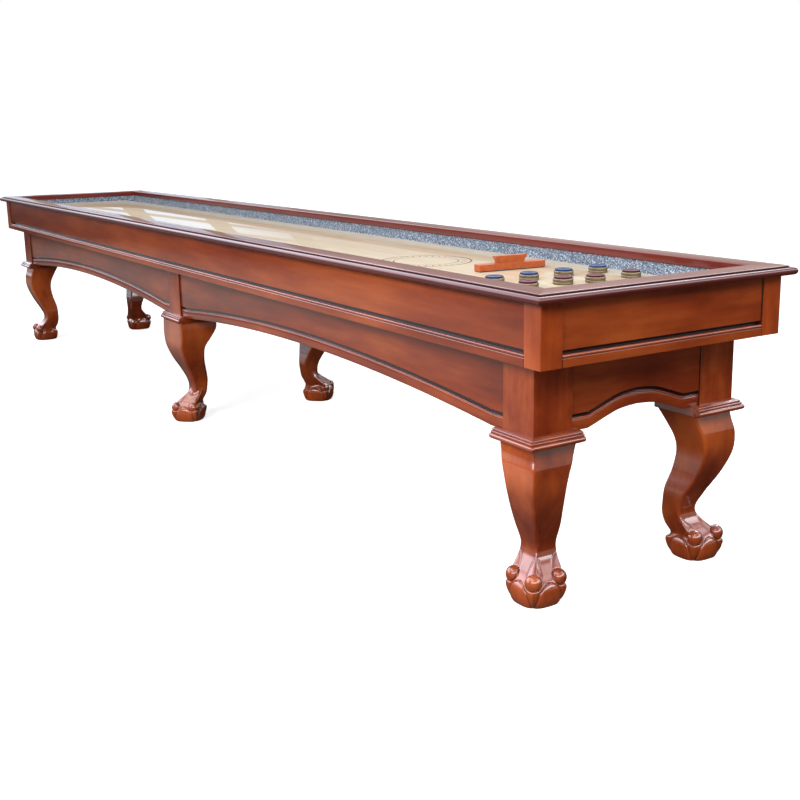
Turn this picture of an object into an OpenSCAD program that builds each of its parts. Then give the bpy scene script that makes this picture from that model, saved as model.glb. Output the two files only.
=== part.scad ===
// Shuffleboard table: a long wooden cradle with a carpeted gutter round a raised maple playfield,
// standing on six cabriole legs with ball-and-claw feet. Eight pucks and a sweep lie on the playfield.
// Units are millimetres. The origin is on the floor under the middle of the table, +Z is up,
// +X runs along the length towards the near end (where the pucks wait), -Y is the front side.

/* [Table] */
// Length over the rounded edge of the top rail
table_length = 4877; // [3700:1:6800]
// Width over the rounded edge of the top rail
table_width = 845; // [800:1:900]
// Height of the top rail above the floor
table_height = 807.5; // [790:0.5:830]
// Width of the top rail
rail_width = 86.5; // [80:0.5:95]
// Thickness of the top rail
rail_thick = 24.5; // [22:0.5:30]

/* [Playfield] */
// Width of the playfield
playfield_width = 508; // [480:1:520]
// Thickness of the playfield
playfield_thick = 76; // [60:1:80]
// Distance from the rail top down to the playfield
playfield_drop = 44.5; // [40:0.5:50]
// Length of the gutter at each end
end_gutter = 90; // [70:1:110]

/* [Cabinet] */
// How far the cabinet stands in from the rail's rounded edge
rail_overhang = 28.5; // [25:0.5:32]
// Thickness of the side and end panels
panel_thick = 44; // [40:0.5:46]
// How far the panels and their bead stand back from the corner posts
panel_recess = 6; // [4:0.5:8]
// Height of the flush band along the bottom of the cabinet
band_height = 21; // [16:1:26]
// Height of the cabinet's underside above the floor
cabinet_base = 630; // [620:1:640]

/* [Legs] */
// Side of the square block on top of each leg
leg_block = 120; // [110:1:130]
// Distance from the cabinet's end face in to the leg block
leg_inset_x = 95; // [80:1:140]
// Distance from the cabinet's side face in to the leg block
leg_inset_y = 57.6; // [50:0.2:70]

/* [Loose pieces] */
// Diameter of a puck
puck_d = 54; // [50:0.5:58]
// Height of a puck
puck_h = 21; // [19:0.5:24]
// Length of the sweep's bar
sweep_length = 228; // [180:1:240]

/* [Hidden] */
$fn = 64;

// Plan: the outermost rail edge, the cabinet's faces and the inside of its walls
rail_x = table_length / 2;
rail_y = table_width / 2;
cab_x = rail_x - rail_overhang;
cab_y = rail_y - rail_overhang;
face_x = cab_x - panel_recess;
face_y = cab_y - panel_recess;
wall_x = face_x - panel_thick;
wall_y = face_y - panel_thick;
post_side = 60;
post_end = 64;

// Heights
rail_base = table_height - rail_thick;
playfield_top = table_height - playfield_drop;
playfield_base = playfield_top - playfield_thick;
floor_thick = 24;
floor_top = cabinet_base + floor_thick;
block_base = 445;
collar_base = 415;

// Playfield, carpet and the parts below the playfield
carpet_thick = 4;
playfield_x = rail_x - rail_width - end_gutter;
playfield_y = playfield_width / 2;
edge_ease = 3;
bearer_count = 6;
bearer_inset = 162;
bearer_pitch = 2 * (playfield_x - bearer_inset) / (bearer_count - 1);
bearer_size = [60, 472];
adjuster_x = 2 * bearer_pitch;
rod_r = 5;
rod_half = 205;
rod_z = (floor_top + playfield_base) / 2 + 1;
bore_gap = 0.05;
bracket_y = 175;
access_hole = [160, 120];

// Legs
leg_x = cab_x - leg_inset_x - leg_block / 2;
leg_y = cab_y - leg_inset_y - leg_block / 2;
block_half = leg_block / 2;
apron_thick = 22;
apron_set = 6;
side_shoulder = 438;
end_shoulder = 441;
seat_gap = 0.5;
bolt_r = 5;
bolt_top = block_base + 60;
bolt_foot = 370;
bolt_head = [9, 8];
screw_r = 3;
screw_head_r = 6;
screw_depth = 60;
screw_step = 36;

// Pucks and sweep
blue_x = 1960;
blue_y = [-188, -73, 47, 170];
red_at = [[2090, -178], [2081, -56], [2107, 32], [2096, 168]];
sweep_at = [1754, 24];
sweep_skew = 5;
sweep_thick = 33;
felt_h = 3;
bar_h = 18;

function reversed(p) = [for (i = [len(p) - 1:-1:0]) p[i]];

// One stretch of a smooth curve through four neighbouring points, t from 0 to 1
function stretch(p0, p1, p2, p3, t) =
    (2 * p1 + (p2 - p0) * t + (2 * p0 - 5 * p1 + 4 * p2 - p3) * t * t
    + (3 * p1 - p0 - 3 * p2 + p3) * t * t * t) / 2;

// Smooth open curve through every point of p, with n steps between neighbours
function smooth(p, n = 4) = [
    for (i = [0:len(p) - 2], k = [0:n - 1])
        stretch(p[max(i - 1, 0)], p[i], p[i + 1], p[min(i + 2, len(p) - 1)], k / n),
    p[len(p) - 1]
];

// Height of a circular arch of the given rise and half span, at distance d from its middle
function arch(d, half, rise) =
    let (r = (half * half + rise * rise) / (2 * rise))
    sqrt(r * r - d * d) - (r - rise);

// Extrudes an (x, z) outline from y0 to y1
module along_y(y0, y1) {
    translate([0, y1, 0])
        rotate([90, 0, 0])
            linear_extrude(y1 - y0)
                children();
}

// Extrudes a (y, z) outline from x0 to x1
module along_x(x0, x1) {
    translate([x0, 0, 0])
        rotate([90, 0, 90])
            linear_extrude(x1 - x0)
                children();
}

// Turns a piece drawn for the +X +Y quarter into the quarter given by the two signs
module quarter(sx, sy) {
    mirror([sx < 0 ? 1 : 0, 0, 0])
        mirror([0, sy < 0 ? 1 : 0, 0])
            children();
}

// ---- Top rail ----

bull_r = 11.4;
rail_flat = rail_width - 16.7;
rail_groove = [2.2, 5];

// Rail section: the origin is the inner bottom edge, with a groove between flat top and bullnose
module rail_section() {
    difference() {
        union() {
            square([rail_flat, rail_thick]);
            square([rail_width - bull_r, rail_thick - 4]);
            translate([rail_width - bull_r, bull_r])
                circle(bull_r);
        }
        translate([rail_flat, rail_thick - rail_groove[1]])
            square(rail_groove);
    }
}

module side_rail() {
    color([0.42, 0.20, 0.16])
        intersection() {
            along_x(-rail_x, rail_x)
                translate([rail_y - rail_width, rail_base])
                    rail_section();
            translate([0, 0, rail_base])
                linear_extrude(rail_thick)
                    polygon([[-rail_x, rail_y], [-rail_x + rail_y, 0],
                             [rail_x - rail_y, 0], [rail_x, rail_y]]);
        }
}

module end_rail() {
    color([0.42, 0.20, 0.16])
        intersection() {
            along_y(-rail_y, rail_y)
                translate([rail_x - rail_width, rail_base])
                    rail_section();
            translate([0, 0, rail_base])
                linear_extrude(rail_thick)
                    polygon([[rail_x - rail_y, 0], [rail_x, -rail_y], [rail_x, rail_y]]);
        }
}

// ---- Cabinet ----

groove_depth = 8;
groove_height = 11;
bead_r = 4.5;

module post() {
    height = rail_base - cabinet_base;
    color([0.55, 0.25, 0.15])
        difference() {
            translate([cab_x - post_side, cab_y - post_end, cabinet_base])
                cube([post_side, post_end, height]);
            translate([0, 0, cabinet_base - 1])
                cube([wall_x, wall_y, height + 2]);
        }
}

// Panel section: the origin is the inner bottom edge, with a groove above the bead
module panel_section() {
    difference() {
        square([panel_thick, rail_base - cabinet_base]);
        translate([panel_thick - groove_depth, band_height + 2 * bead_r])
            square([groove_depth + 1, groove_height]);
    }
}

// Applied band section: flat board with a round bead on its top edge, the origin is its back bottom
module band_section() {
    square([panel_recess, band_height]);
    intersection() {
        translate([panel_recess - bead_r, band_height + bead_r])
            circle(bead_r);
        square([panel_recess, band_height + 2 * bead_r]);
    }
    translate([0, band_height])
        square([panel_recess - bead_r, 2 * bead_r]);
    square([panel_recess - 1.5, band_height + bead_r]);
}

module side_panel() {
    color([0.55, 0.28, 0.18])
        along_x(-cab_x + post_side, cab_x - post_side)
            translate([wall_y, cabinet_base])
                panel_section();
}

module end_panel() {
    color([0.50, 0.24, 0.15])
        along_y(-cab_y + post_end, cab_y - post_end)
            translate([wall_x, cabinet_base])
                panel_section();
}

module side_band() {
    color([0.60, 0.30, 0.20])
        along_x(-cab_x + post_side, cab_x - post_side)
            translate([face_y, cabinet_base])
                band_section();
}

module end_band() {
    color([0.60, 0.30, 0.20])
        along_y(-cab_y + post_end, cab_y - post_end)
            translate([face_x, cabinet_base])
                band_section();
}

// Runs its children at the centre of each of the six leg blocks
module each_leg() {
    for (x = [-leg_x, 0, leg_x], y = [-leg_y, leg_y])
        translate([x, y, 0])
            children();
}

// Runs its children at the two diagonal screws of one leg block
module block_screw_places() {
    for (s = [-1, 1])
        translate([s * screw_step, s * screw_step, 0])
            children();
}

module cabinet_floor() {
    color([0.62, 0.50, 0.36])
        difference() {
            translate([-wall_x, -wall_y, cabinet_base])
                cube([2 * wall_x, 2 * wall_y, floor_thick]);
            for (x = [-adjuster_x, 0, adjuster_x])
                translate([x - access_hole[0] / 2, -access_hole[1] / 2, cabinet_base - 1])
                    cube([access_hole[0], access_hole[1], floor_thick + 2]);
            each_leg()
                block_screw_places() {
                    translate([0, 0, cabinet_base - 1])
                        cylinder(r = screw_r, h = floor_thick + 2);
                    translate([0, 0, floor_top - 5])
                        cylinder(r = screw_head_r, h = 6);
                }
        }
}

module block_screws() {
    color([0.70, 0.70, 0.72])
        each_leg()
            block_screw_places() {
                translate([0, 0, floor_top - screw_depth])
                    cylinder(r = screw_r - bore_gap, h = screw_depth - 5);
                translate([0, 0, floor_top - 5])
                    cylinder(r = screw_head_r - 0.3, h = 4);
            }
}

// ---- Playfield and what lies under it ----

module playfield() {
    color([0.90, 0.80, 0.62])
        along_x(-playfield_x, playfield_x)
            polygon([
                [-playfield_y, playfield_base], [playfield_y, playfield_base],
                [playfield_y, playfield_top - edge_ease], [playfield_y - edge_ease, playfield_top],
                [-playfield_y + edge_ease, playfield_top], [-playfield_y, playfield_top - edge_ease]
            ]);
}

// One carpet lining: flat on the gutter floor and turned up the four walls to the rail
module gutter_carpet() {
    under = 14;
    in_x = playfield_x - under;
    in_y = playfield_y - under;
    color([0.50, 0.55, 0.62])
        difference() {
            translate([-wall_x, -wall_y, floor_top])
                cube([2 * wall_x, 2 * wall_y, rail_base - floor_top]);
            translate([-wall_x + carpet_thick, -wall_y + carpet_thick, floor_top + carpet_thick])
                cube([2 * (wall_x - carpet_thick), 2 * (wall_y - carpet_thick), rail_base]);
            translate([-in_x, -in_y, floor_top - 1])
                cube([2 * in_x, 2 * in_y, carpet_thick + 2]);
        }
}

module bearers() {
    color([0.66, 0.52, 0.36])
        for (i = [0:bearer_count - 1])
            translate([(i - (bearer_count - 1) / 2) * bearer_pitch - bearer_size[0] / 2,
                       -bearer_size[1] / 2, floor_top])
                cube([bearer_size[0], bearer_size[1], playfield_base - floor_top]);
}

// Steel lug on a plate under each side of the playfield, bored for the adjuster rod
module adjuster_bracket() {
    plate = [44, 56, 4];
    lug_half = 11;
    color([0.45, 0.46, 0.48])
        difference() {
            union() {
                translate([-plate[0] / 2, -plate[1] / 2, playfield_base - plate[2]])
                    cube(plate);
                along_y(-7, 7)
                    union() {
                        translate([0, rod_z])
                            circle(lug_half);
                        translate([-lug_half, rod_z])
                            square([2 * lug_half, playfield_base - rod_z - 1]);
                    }
            }
            along_y(-10, 10)
                translate([0, rod_z])
                    circle(rod_r + bore_gap);
        }
}

module adjuster_brackets() {
    for (x = [-adjuster_x, 0, adjuster_x], y = [-bracket_y, bracket_y])
        translate([x, y, 0])
            adjuster_bracket();
}

// Rod with opposite threads at its ends and a hexagon in the middle for a spanner
module adjuster_rod(x) {
    hex_r = 10;
    hex_half = 20;
    color([0.70, 0.71, 0.73])
        translate([x, 0, 0]) {
            along_y(-rod_half, rod_half)
                translate([0, rod_z])
                    circle(rod_r);
            along_y(-hex_half, hex_half)
                translate([0, rod_z])
                    circle(hex_r, $fn = 6);
        }
}

// ---- Leg blocks, collars, bolts ----

module leg_blocks() {
    color([0.55, 0.26, 0.16])
        difference() {
            each_leg()
                translate([-block_half, -block_half, block_base])
                    cube([leg_block, leg_block, cabinet_base - block_base]);
            each_leg() {
                translate([0, 0, block_base - 1])
                    cylinder(r = bolt_r, h = bolt_top - block_base + 1);
                translate([0, 0, bolt_top - bolt_head[1]])
                    cylinder(r = bolt_head[0] + 1, h = bolt_head[1] + 1);
                block_screw_places()
                    translate([0, 0, floor_top - screw_depth])
                        cylinder(r = screw_r, h = screw_depth);
            }
        }
}

module leg_bolts() {
    color([0.70, 0.70, 0.72])
        each_leg() {
            translate([0, 0, bolt_foot])
                cylinder(r = bolt_r - bore_gap, h = bolt_top - bolt_foot);
            translate([0, 0, bolt_top - bolt_head[1]])
                cylinder(r = bolt_head[0], h = bolt_head[1], $fn = 6);
        }
}

// Moulded edge of a collar from the block's face out: a lip, a cove and a bullnose.
// The plate itself reaches back to -reach behind the block's centre.
module collar_section(reach) {
    nose_r = 6;
    lip = 14;
    nose = 24;
    height = block_base - collar_base;
    difference() {
        union() {
            translate([-reach, collar_base])
                square([reach + block_half + lip, height]);
            translate([-reach, collar_base])
                square([reach + block_half + nose - 4, height / 2 + nose_r / 2]);
            translate([block_half + nose, collar_base + 12])
                circle(nose_r);
            translate([-reach, collar_base + 12 - nose_r])
                square([reach + block_half + nose, 2 * nose_r]);
        }
        translate([block_half + lip + 6, collar_base + height - 6])
            circle(6);
        translate([-reach, block_base])
            square([reach + 2 * block_half, height]);
    }
}

module bolt_bore() {
    translate([0, 0, bolt_foot])
        cylinder(r = bolt_r, h = block_base + 1 - bolt_foot);
}

// Rebate in the top of a collar for the apron end that comes to the leg block from -X
module apron_seat(shoulder) {
    depth = apron_thick + 2 * seat_gap;
    translate([-leg_block, block_half - apron_set + seat_gap - depth, shoulder - seat_gap])
        cube([block_half, depth, block_base]);
}

module corner_collars() {
    reach = 84;
    color([0.50, 0.22, 0.14])
        for (sx = [-1, 1], sy = [-1, 1])
            quarter(sx, sy)
                translate([leg_x, leg_y, 0])
                    difference() {
                        intersection() {
                            along_y(-reach, leg_block)
                                collar_section(reach);
                            along_x(-reach, leg_block)
                                collar_section(reach);
                        }
                        apron_seat(side_shoulder);
                        mirror([1, -1, 0])
                            apron_seat(end_shoulder);
                        bolt_bore();
                    }
}

module middle_collars() {
    half = 98;
    color([0.50, 0.22, 0.14])
        for (sy = [-1, 1])
            quarter(1, sy)
                translate([0, leg_y, 0])
                    difference() {
                        along_x(-half, half)
                            collar_section(80);
                        apron_seat(side_shoulder);
                        mirror([1, 0, 0])
                            apron_seat(side_shoulder);
                        bolt_bore();
                    }
}

// ---- Cabriole legs ----

saw_end = 62;
foot_ball = [60, 56];
foot_ball_z = 52;

// Band-saw outline shared by both faces of a corner leg: outer curve down, inner curve up
module corner_saw_outline() {
    outer = [[58.5, collar_base], [64, 388], [71, 355], [69, 304], [50, 245],
             [21, 184], [4, 142], [4, 112], [20, saw_end]];
    inner = [[-78, collar_base], [-63, 381], [-46, 336], [-41, 296], [-48, 243],
             [-61, 190], [-64, 142], [-55, 100], [-36, saw_end]];
    polygon(concat(smooth(outer), reversed(smooth(inner))));
}

// Side view of a middle leg, outward to the right
module middle_side_outline() {
    outer = [[78, collar_base], [79, 355], [77, 306], [59, 255], [38, 214],
             [19, 170], [12, 140], [17, 110], [30, saw_end]];
    inner = [[-78, collar_base], [-76, 385], [-50, 345], [-29, 306], [-30, 255],
             [-42, 214], [-54, 170], [-52, 135], [-40, 100], [-12, saw_end]];
    polygon(concat(smooth(outer), reversed(smooth(inner))));
}

// Front view of a middle leg, symmetrical about its centre line
module middle_front_outline() {
    edge = [[94, collar_base], [97, 355], [83, 306], [69, 255], [50, 214],
            [33, 170], [32, 135], [34, saw_end]];
    curve = smooth(edge);
    polygon(concat(curve, [for (p = reversed(curve)) [-p[0], p[1]]]));
}

// One talon pointing along +X: down from the instep over a knuckle to a claw on the floor
module talon() {
    half_width = [[12, 140], [16, 108], [22, 72], [18, 44], [8, 0]];
    top_line = [[10, 140], [36, 108], [62, 92], [78, 68], [73, 40], [64, 0]];
    under_line = [[-14, 140], [-9, 84], [30, 40], [46, 0]];
    side = smooth(half_width, 3);
    intersection() {
        along_y(-30, 30)
            polygon(concat(smooth(top_line, 3), reversed(under_line)));
        along_x(-16, 90)
            polygon(concat(side, [for (p = reversed(side)) [-p[0], p[1]]]));
    }
}

// Ball cut from the block by the same round outline on all three faces
module carved_ball() {
    round = [for (i = [0:23]) [foot_ball[0] * cos(15 * i), foot_ball[0] * sin(15 * i)]];
    tall = [for (p = round) [p[0], foot_ball_z + p[1] * foot_ball[1] / foot_ball[0]]];
    intersection() {
        along_y(-100, 100)
            polygon(tall);
        along_x(-100, 100)
            polygon(tall);
        linear_extrude(2 * foot_ball_z + 20)
            polygon(round);
    }
}

// Ball held by four talons, the first turned by the given angle, standing flat on the floor
module claw_foot(turn) {
    rotate([0, 0, turn])
        union() {
            rotate([0, 0, 7])
                carved_ball();
            for (k = [0:3])
                rotate([0, 0, 90 * k])
                    talon();
        }
}

module corner_leg(sx, sy) {
    color([0.50, 0.20, 0.12])
        quarter(sx, sy)
            translate([leg_x, leg_y, 0])
                difference() {
                    union() {
                        intersection() {
                            along_y(-150, 150)
                                corner_saw_outline();
                            along_x(-150, 150)
                                corner_saw_outline();
                        }
                        translate([1.5, 1.5, 0])
                            claw_foot(45);
                    }
                    bolt_bore();
                }
}

module middle_leg(sy) {
    foot_out = 25;
    color([0.50, 0.20, 0.12])
        quarter(1, sy)
            translate([0, leg_y, 0])
                difference() {
                    union() {
                        intersection() {
                            along_y(-150, 150)
                                middle_front_outline();
                            along_x(-150, 150)
                                middle_side_outline();
                        }
                        translate([0, foot_out, 0])
                            claw_foot(0);
                    }
                    bolt_bore();
                }
}

// ---- Aprons between the legs ----

apron_groove_depth = 6;
apron_groove = [33, 42];
arc_steps = 24;

// Circular arch of the given half span and rise, as points across the middle of an apron
function arch_line(half, rise) = [
    for (i = [0:arc_steps])
        let (d = half * (2 * i / arc_steps - 1))
        [d, arch(d, half, rise)]
];

// Ogee rise of an end apron: hollow next to the shoulder, round over the middle
function ogee_line(half, rise) =
    let (side = smooth([[-half, 0], [-0.86 * half, 0.19 * rise], [-0.61 * half, 0.56 * rise],
                        [-0.35 * half, 0.87 * rise], [0, rise]]))
    concat(side, [for (p = reversed(side)) if (p[0] < 0) [-p[0], p[1]]]);

// Bottom line of an apron of the given half length: flat shoulders and a shaped middle, raised by lift
function apron_line(half, middle, shoulder, lift) = concat(
    [[-half, shoulder + lift]],
    [for (p = middle) [p[0], p[1] + shoulder + lift]],
    [[half, shoulder + lift]]
);

module apron_outline(half, middle, shoulder) {
    polygon(concat(apron_line(half, middle, shoulder, 0),
                   [[half, cabinet_base], [-half, cabinet_base]]));
}

module apron_groove_outline(half, middle, shoulder) {
    polygon(concat(apron_line(half, middle, shoulder, apron_groove[0]),
                   reversed(apron_line(half, middle, shoulder, apron_groove[1]))));
}

module side_apron(sx, sy) {
    half = (leg_x - leg_block) / 2;
    middle = arch_line(half - 58, 49);
    face = leg_y + block_half - apron_set;
    color([0.52, 0.24, 0.14])
        quarter(sx, sy)
            translate([leg_x / 2, 0, 0])
                difference() {
                    along_y(face - apron_thick, face)
                        apron_outline(half, middle, side_shoulder);
                    along_y(face - apron_groove_depth, face + 1)
                        apron_groove_outline(half, middle, side_shoulder);
                }
}

module end_apron(sx) {
    half = leg_y - block_half;
    middle = ogee_line(half - 54, 39);
    face = leg_x + block_half - apron_set;
    color([0.52, 0.24, 0.14])
        quarter(sx, 1)
            difference() {
                along_x(face - apron_thick, face)
                    apron_outline(half, middle, end_shoulder);
                along_x(face - apron_groove_depth, face + 1)
                    apron_groove_outline(half, middle, end_shoulder);
            }
}

// ---- Pucks ----

cap_r = 24.2;
cap_seat = 12;
spigot_r = 10;

module puck_body(x, y) {
    r = puck_d / 2;
    color([0.72, 0.55, 0.28])
        translate([x, y, playfield_top])
            rotate_extrude()
                polygon([
                    [spigot_r, 3], [r - 5, 3], [r - 4, 0], [r - 2.5, 0], [r, 2.5], [r, 5.5],
                    [r - 1.5, 7.5], [r, 9.5], [r, 13.5], [r - 1.5, 15.5],
                    [cap_r + 0.3, 15.5], [cap_r + 0.3, cap_seat], [spigot_r, cap_seat]
                ]);
}

module puck_cap(x, y, tint) {
    color(tint)
        translate([x, y, playfield_top])
            rotate_extrude()
                polygon([
                    [0, 6], [spigot_r - 0.3, 6], [spigot_r - 0.3, cap_seat], [cap_r, cap_seat],
                    [cap_r, puck_h - 2], [cap_r - 2, puck_h], [cap_r - 5, puck_h],
                    [cap_r - 6, puck_h - 1], [0, puck_h - 1]
                ]);
}

module blue_puck(i) {
    puck_body(blue_x, blue_y[i]);
}

module red_puck(i) {
    puck_body(red_at[i][0], red_at[i][1]);
}

module blue_cap(i) {
    puck_cap(blue_x, blue_y[i], [0.20, 0.33, 0.60]);
}

module red_cap(i) {
    puck_cap(red_at[i][0], red_at[i][1], [0.42, 0.13, 0.20]);
}

// ---- Sweep ----

// Bar plan: square at the front end, round at the back end
module sweep_plan(ease) {
    half_t = sweep_thick / 2 - ease;
    half_l = sweep_length / 2 - ease;
    translate([-half_t, -half_l])
        square([2 * half_t, 2 * half_l - half_t]);
    translate([0, half_l - half_t])
        circle(half_t);
}

module sweep_place(z) {
    translate([sweep_at[0], sweep_at[1], playfield_top + z])
        rotate([0, 0, -sweep_skew])
            children();
}

module sweep_felt() {
    color([0.20, 0.20, 0.22])
        sweep_place(0)
            linear_extrude(felt_h)
                sweep_plan(1.5);
}

module sweep_bar() {
    color([0.90, 0.45, 0.20])
        sweep_place(felt_h)
            linear_extrude(bar_h)
                sweep_plan(0);
}

module sweep_handle() {
    foot_half = 43.5;
    top_half = 54;
    handle_h = 21;
    handle_t = 20;
    offset = -5;
    color([0.93, 0.48, 0.22])
        sweep_place(felt_h + bar_h)
            translate([0, offset, 0])
                along_x(-handle_t / 2, handle_t / 2)
                    polygon([[-foot_half, 0], [foot_half, 0], [top_half, handle_h],
                             [-top_half, handle_h]]);
}

quarter(1, -1) side_rail();  // rail_front
side_rail();  // rail_back
end_rail();  // rail_near
quarter(-1, 1) end_rail();  // rail_far
quarter(1, -1) post();  // post_near_front
post();  // post_near_back
quarter(-1, -1) post();  // post_far_front
quarter(-1, 1) post();  // post_far_back
quarter(1, -1) side_panel();  // panel_front
side_panel();  // panel_back
end_panel();  // panel_near
quarter(-1, 1) end_panel();  // panel_far
quarter(1, -1) side_band();  // band_front
side_band();  // band_back
end_band();  // band_near
quarter(-1, 1) end_band();  // band_far
cabinet_floor();
bearers();
playfield();
gutter_carpet();
adjuster_brackets();
adjuster_rod(adjuster_x);  // adjuster_rod_near
adjuster_rod(0);  // adjuster_rod_middle
adjuster_rod(-adjuster_x);  // adjuster_rod_far
leg_blocks();
corner_collars();
middle_collars();
corner_leg(1, -1);  // leg_near_front
corner_leg(1, 1);  // leg_near_back
middle_leg(-1);  // leg_middle_front
middle_leg(1);  // leg_middle_back
corner_leg(-1, -1);  // leg_far_front
corner_leg(-1, 1);  // leg_far_back
end_apron(1);  // apron_near
end_apron(-1);  // apron_far
side_apron(1, -1);  // apron_front_near
side_apron(-1, -1);  // apron_front_far
side_apron(1, 1);  // apron_back_near
side_apron(-1, 1);  // apron_back_far
leg_bolts();
block_screws();
blue_puck(0);  // puck_blue_1
blue_puck(1);  // puck_blue_2
blue_puck(2);  // puck_blue_3
blue_puck(3);  // puck_blue_4
red_puck(0);  // puck_red_1
red_puck(1);  // puck_red_2
red_puck(2);  // puck_red_3
red_puck(3);  // puck_red_4
blue_cap(0);  // cap_blue_1
blue_cap(1);  // cap_blue_2
blue_cap(2);  // cap_blue_3
blue_cap(3);  // cap_blue_4
red_cap(0);  // cap_red_1
red_cap(1);  // cap_red_2
red_cap(2);  // cap_red_3
red_cap(3);  // cap_red_4
sweep_bar();
sweep_handle();
sweep_felt();
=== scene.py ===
"""Looks of the shuffleboard table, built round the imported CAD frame. Lengths are metres unless named mm."""
import math

import bmesh
import bpy
import numpy as np
from mathutils import Matrix, Vector


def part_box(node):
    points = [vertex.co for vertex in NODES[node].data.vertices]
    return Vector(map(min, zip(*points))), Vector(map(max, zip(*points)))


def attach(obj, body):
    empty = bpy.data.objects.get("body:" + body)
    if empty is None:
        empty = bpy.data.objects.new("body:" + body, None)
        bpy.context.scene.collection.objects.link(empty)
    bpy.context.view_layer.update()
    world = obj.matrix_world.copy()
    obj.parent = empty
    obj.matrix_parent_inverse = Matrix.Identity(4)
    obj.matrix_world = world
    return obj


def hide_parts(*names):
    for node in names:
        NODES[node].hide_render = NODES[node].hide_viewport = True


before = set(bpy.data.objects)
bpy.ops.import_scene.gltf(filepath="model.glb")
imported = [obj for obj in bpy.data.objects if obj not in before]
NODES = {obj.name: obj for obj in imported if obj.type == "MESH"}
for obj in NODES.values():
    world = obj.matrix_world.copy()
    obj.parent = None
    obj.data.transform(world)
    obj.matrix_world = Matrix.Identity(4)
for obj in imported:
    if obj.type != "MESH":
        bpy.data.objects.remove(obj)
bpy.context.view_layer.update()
MM = 0.001
ROOT = "table"
SIDES = ("front", "back")
ENDS = ("near", "far")
SIGN = {"front": -1, "back": 1, "near": 1, "far": -1}
RAIL_WIDTH = 86.5        # mm
BLOCK_HALF = 0.060
LEG_TALL = 415           # mm


# ---- camera, light, stage

def link(name, data):
    """A new object in the scene."""
    made = bpy.data.objects.new(name, data)
    bpy.context.scene.collection.objects.link(made)
    return made


def make_camera():
    """Camera at the fitted viewing angle: angles in radians, lens in mm on a 36 mm sensor."""
    azimuth, elevation, roll = 1.00694, 0.22758, -0.016718
    ca, sa, ce, se = math.cos(azimuth), math.sin(azimuth), math.cos(elevation), math.sin(elevation)
    forward = Vector((-sa * ce, ca * ce, -se))
    flat_right = Vector((ca, sa, 0))
    flat_up = flat_right.cross(forward)
    right = flat_right * math.cos(roll) + flat_up * math.sin(roll)
    up = flat_up * math.cos(roll) - flat_right * math.sin(roll)
    data = bpy.data.cameras.new("camera")
    data.sensor_width = 36
    data.lens = 51.4962
    data.shift_x, data.shift_y = -0.0161625, -0.0151625
    data.clip_end = 100
    cam = link("camera", data)
    turn = Matrix((right, up, -forward)).transposed().to_4x4()
    cam.matrix_world = Matrix.Translation((4.3715, -1.97166, 1.17763)) @ turn
    bpy.context.scene.camera = cam


def area_light(name, place, target, size, power, tint):
    """Soft lamp that shows neither to the camera nor in reflections."""
    data = bpy.data.lights.new(name, "AREA")
    data.shape = "RECTANGLE"
    data.size, data.size_y = size
    data.energy = power
    data.color = tint
    lamp = link(name, data)
    aim = (Vector(target) - Vector(place)).to_track_quat("-Z", "Y")
    lamp.matrix_world = Matrix.Translation(place) @ aim.to_matrix().to_4x4()
    lamp.visible_glossy = False
    lamp.visible_camera = False


class Net:
    """A shader tree with short calls: add() makes a node; a value may be a number, a colour or a socket."""

    def __init__(self, tree):
        self.tree = tree
        tree.nodes.clear()

    def add(self, kind, inputs=None, **settings):
        made = self.tree.nodes.new("ShaderNode" + kind)
        for key, value in settings.items():
            setattr(made, key, value)
        for key, value in (inputs or {}).items():
            self.put(made.inputs[key], value)
        return made

    def put(self, socket, value):
        if isinstance(value, bpy.types.NodeSocket):
            self.tree.links.new(value, socket)
        elif isinstance(value, (tuple, list)) and len(value) == 3 and socket.type == "RGBA":
            socket.default_value = (*value, 1)
        else:
            socket.default_value = value

    def math(self, operation, a, b=0.0):
        return self.add("Math", {0: a, 1: b}, operation=operation).outputs[0]

    def times(self, a, b):
        return self.math("MULTIPLY", a, b)

    def plus(self, a, b):
        return self.math("ADD", a, b)

    def minus(self, a, b):
        return self.math("SUBTRACT", a, b)

    def from_half(self, value):
        """How far a value's fraction is from one half."""
        return self.math("ABSOLUTE", self.minus(self.math("FRACT", value), 0.5))

    def mix(self, factor, a, b):
        made = self.add("Mix", data_type="RGBA")
        self.put(made.inputs[0], factor)
        self.put(made.inputs[6], a)
        self.put(made.inputs[7], b)
        return made.outputs[2]

    def tinted(self, colour, mask, amount, tint):
        """The colour moved towards a tint, by amount where the mask is 1."""
        return self.mix(self.times(mask, amount), colour, tint)

    def remap(self, value, low, high, to_low=0.0, to_high=1.0):
        return self.add("MapRange", {0: value, 1: low, 2: high, 3: to_low, 4: to_high}).outputs[0]

    def noise(self, vector, scale, detail=4.0, rough=0.55, distortion=0.0):
        return self.add("TexNoise", {"Vector": vector, "Scale": scale, "Detail": detail,
                                     "Roughness": rough, "Distortion": distortion}).outputs[0]

    def stretched(self, vector, scale):
        return self.add("Mapping", {"Vector": vector, "Scale": scale}).outputs[0]

    def attribute(self, name):
        return self.add("Attribute", attribute_name=name).outputs["Fac"]

    def switch(self, ray, usual, for_ray):
        """One shader for a kind of ray and another for the rest."""
        kind = self.add("LightPath").outputs[f"Is {ray} Ray"]
        return self.add("MixShader", {0: kind, 1: usual.outputs[0], 2: for_ray.outputs[0]})


def new_material(name):
    """A material, its node tree and the surface's place in metres."""
    made = bpy.data.materials.new(name)
    made.use_nodes = True
    net = Net(made.node_tree)
    return made, net, net.add("TexCoord").outputs["Object"]


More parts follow.
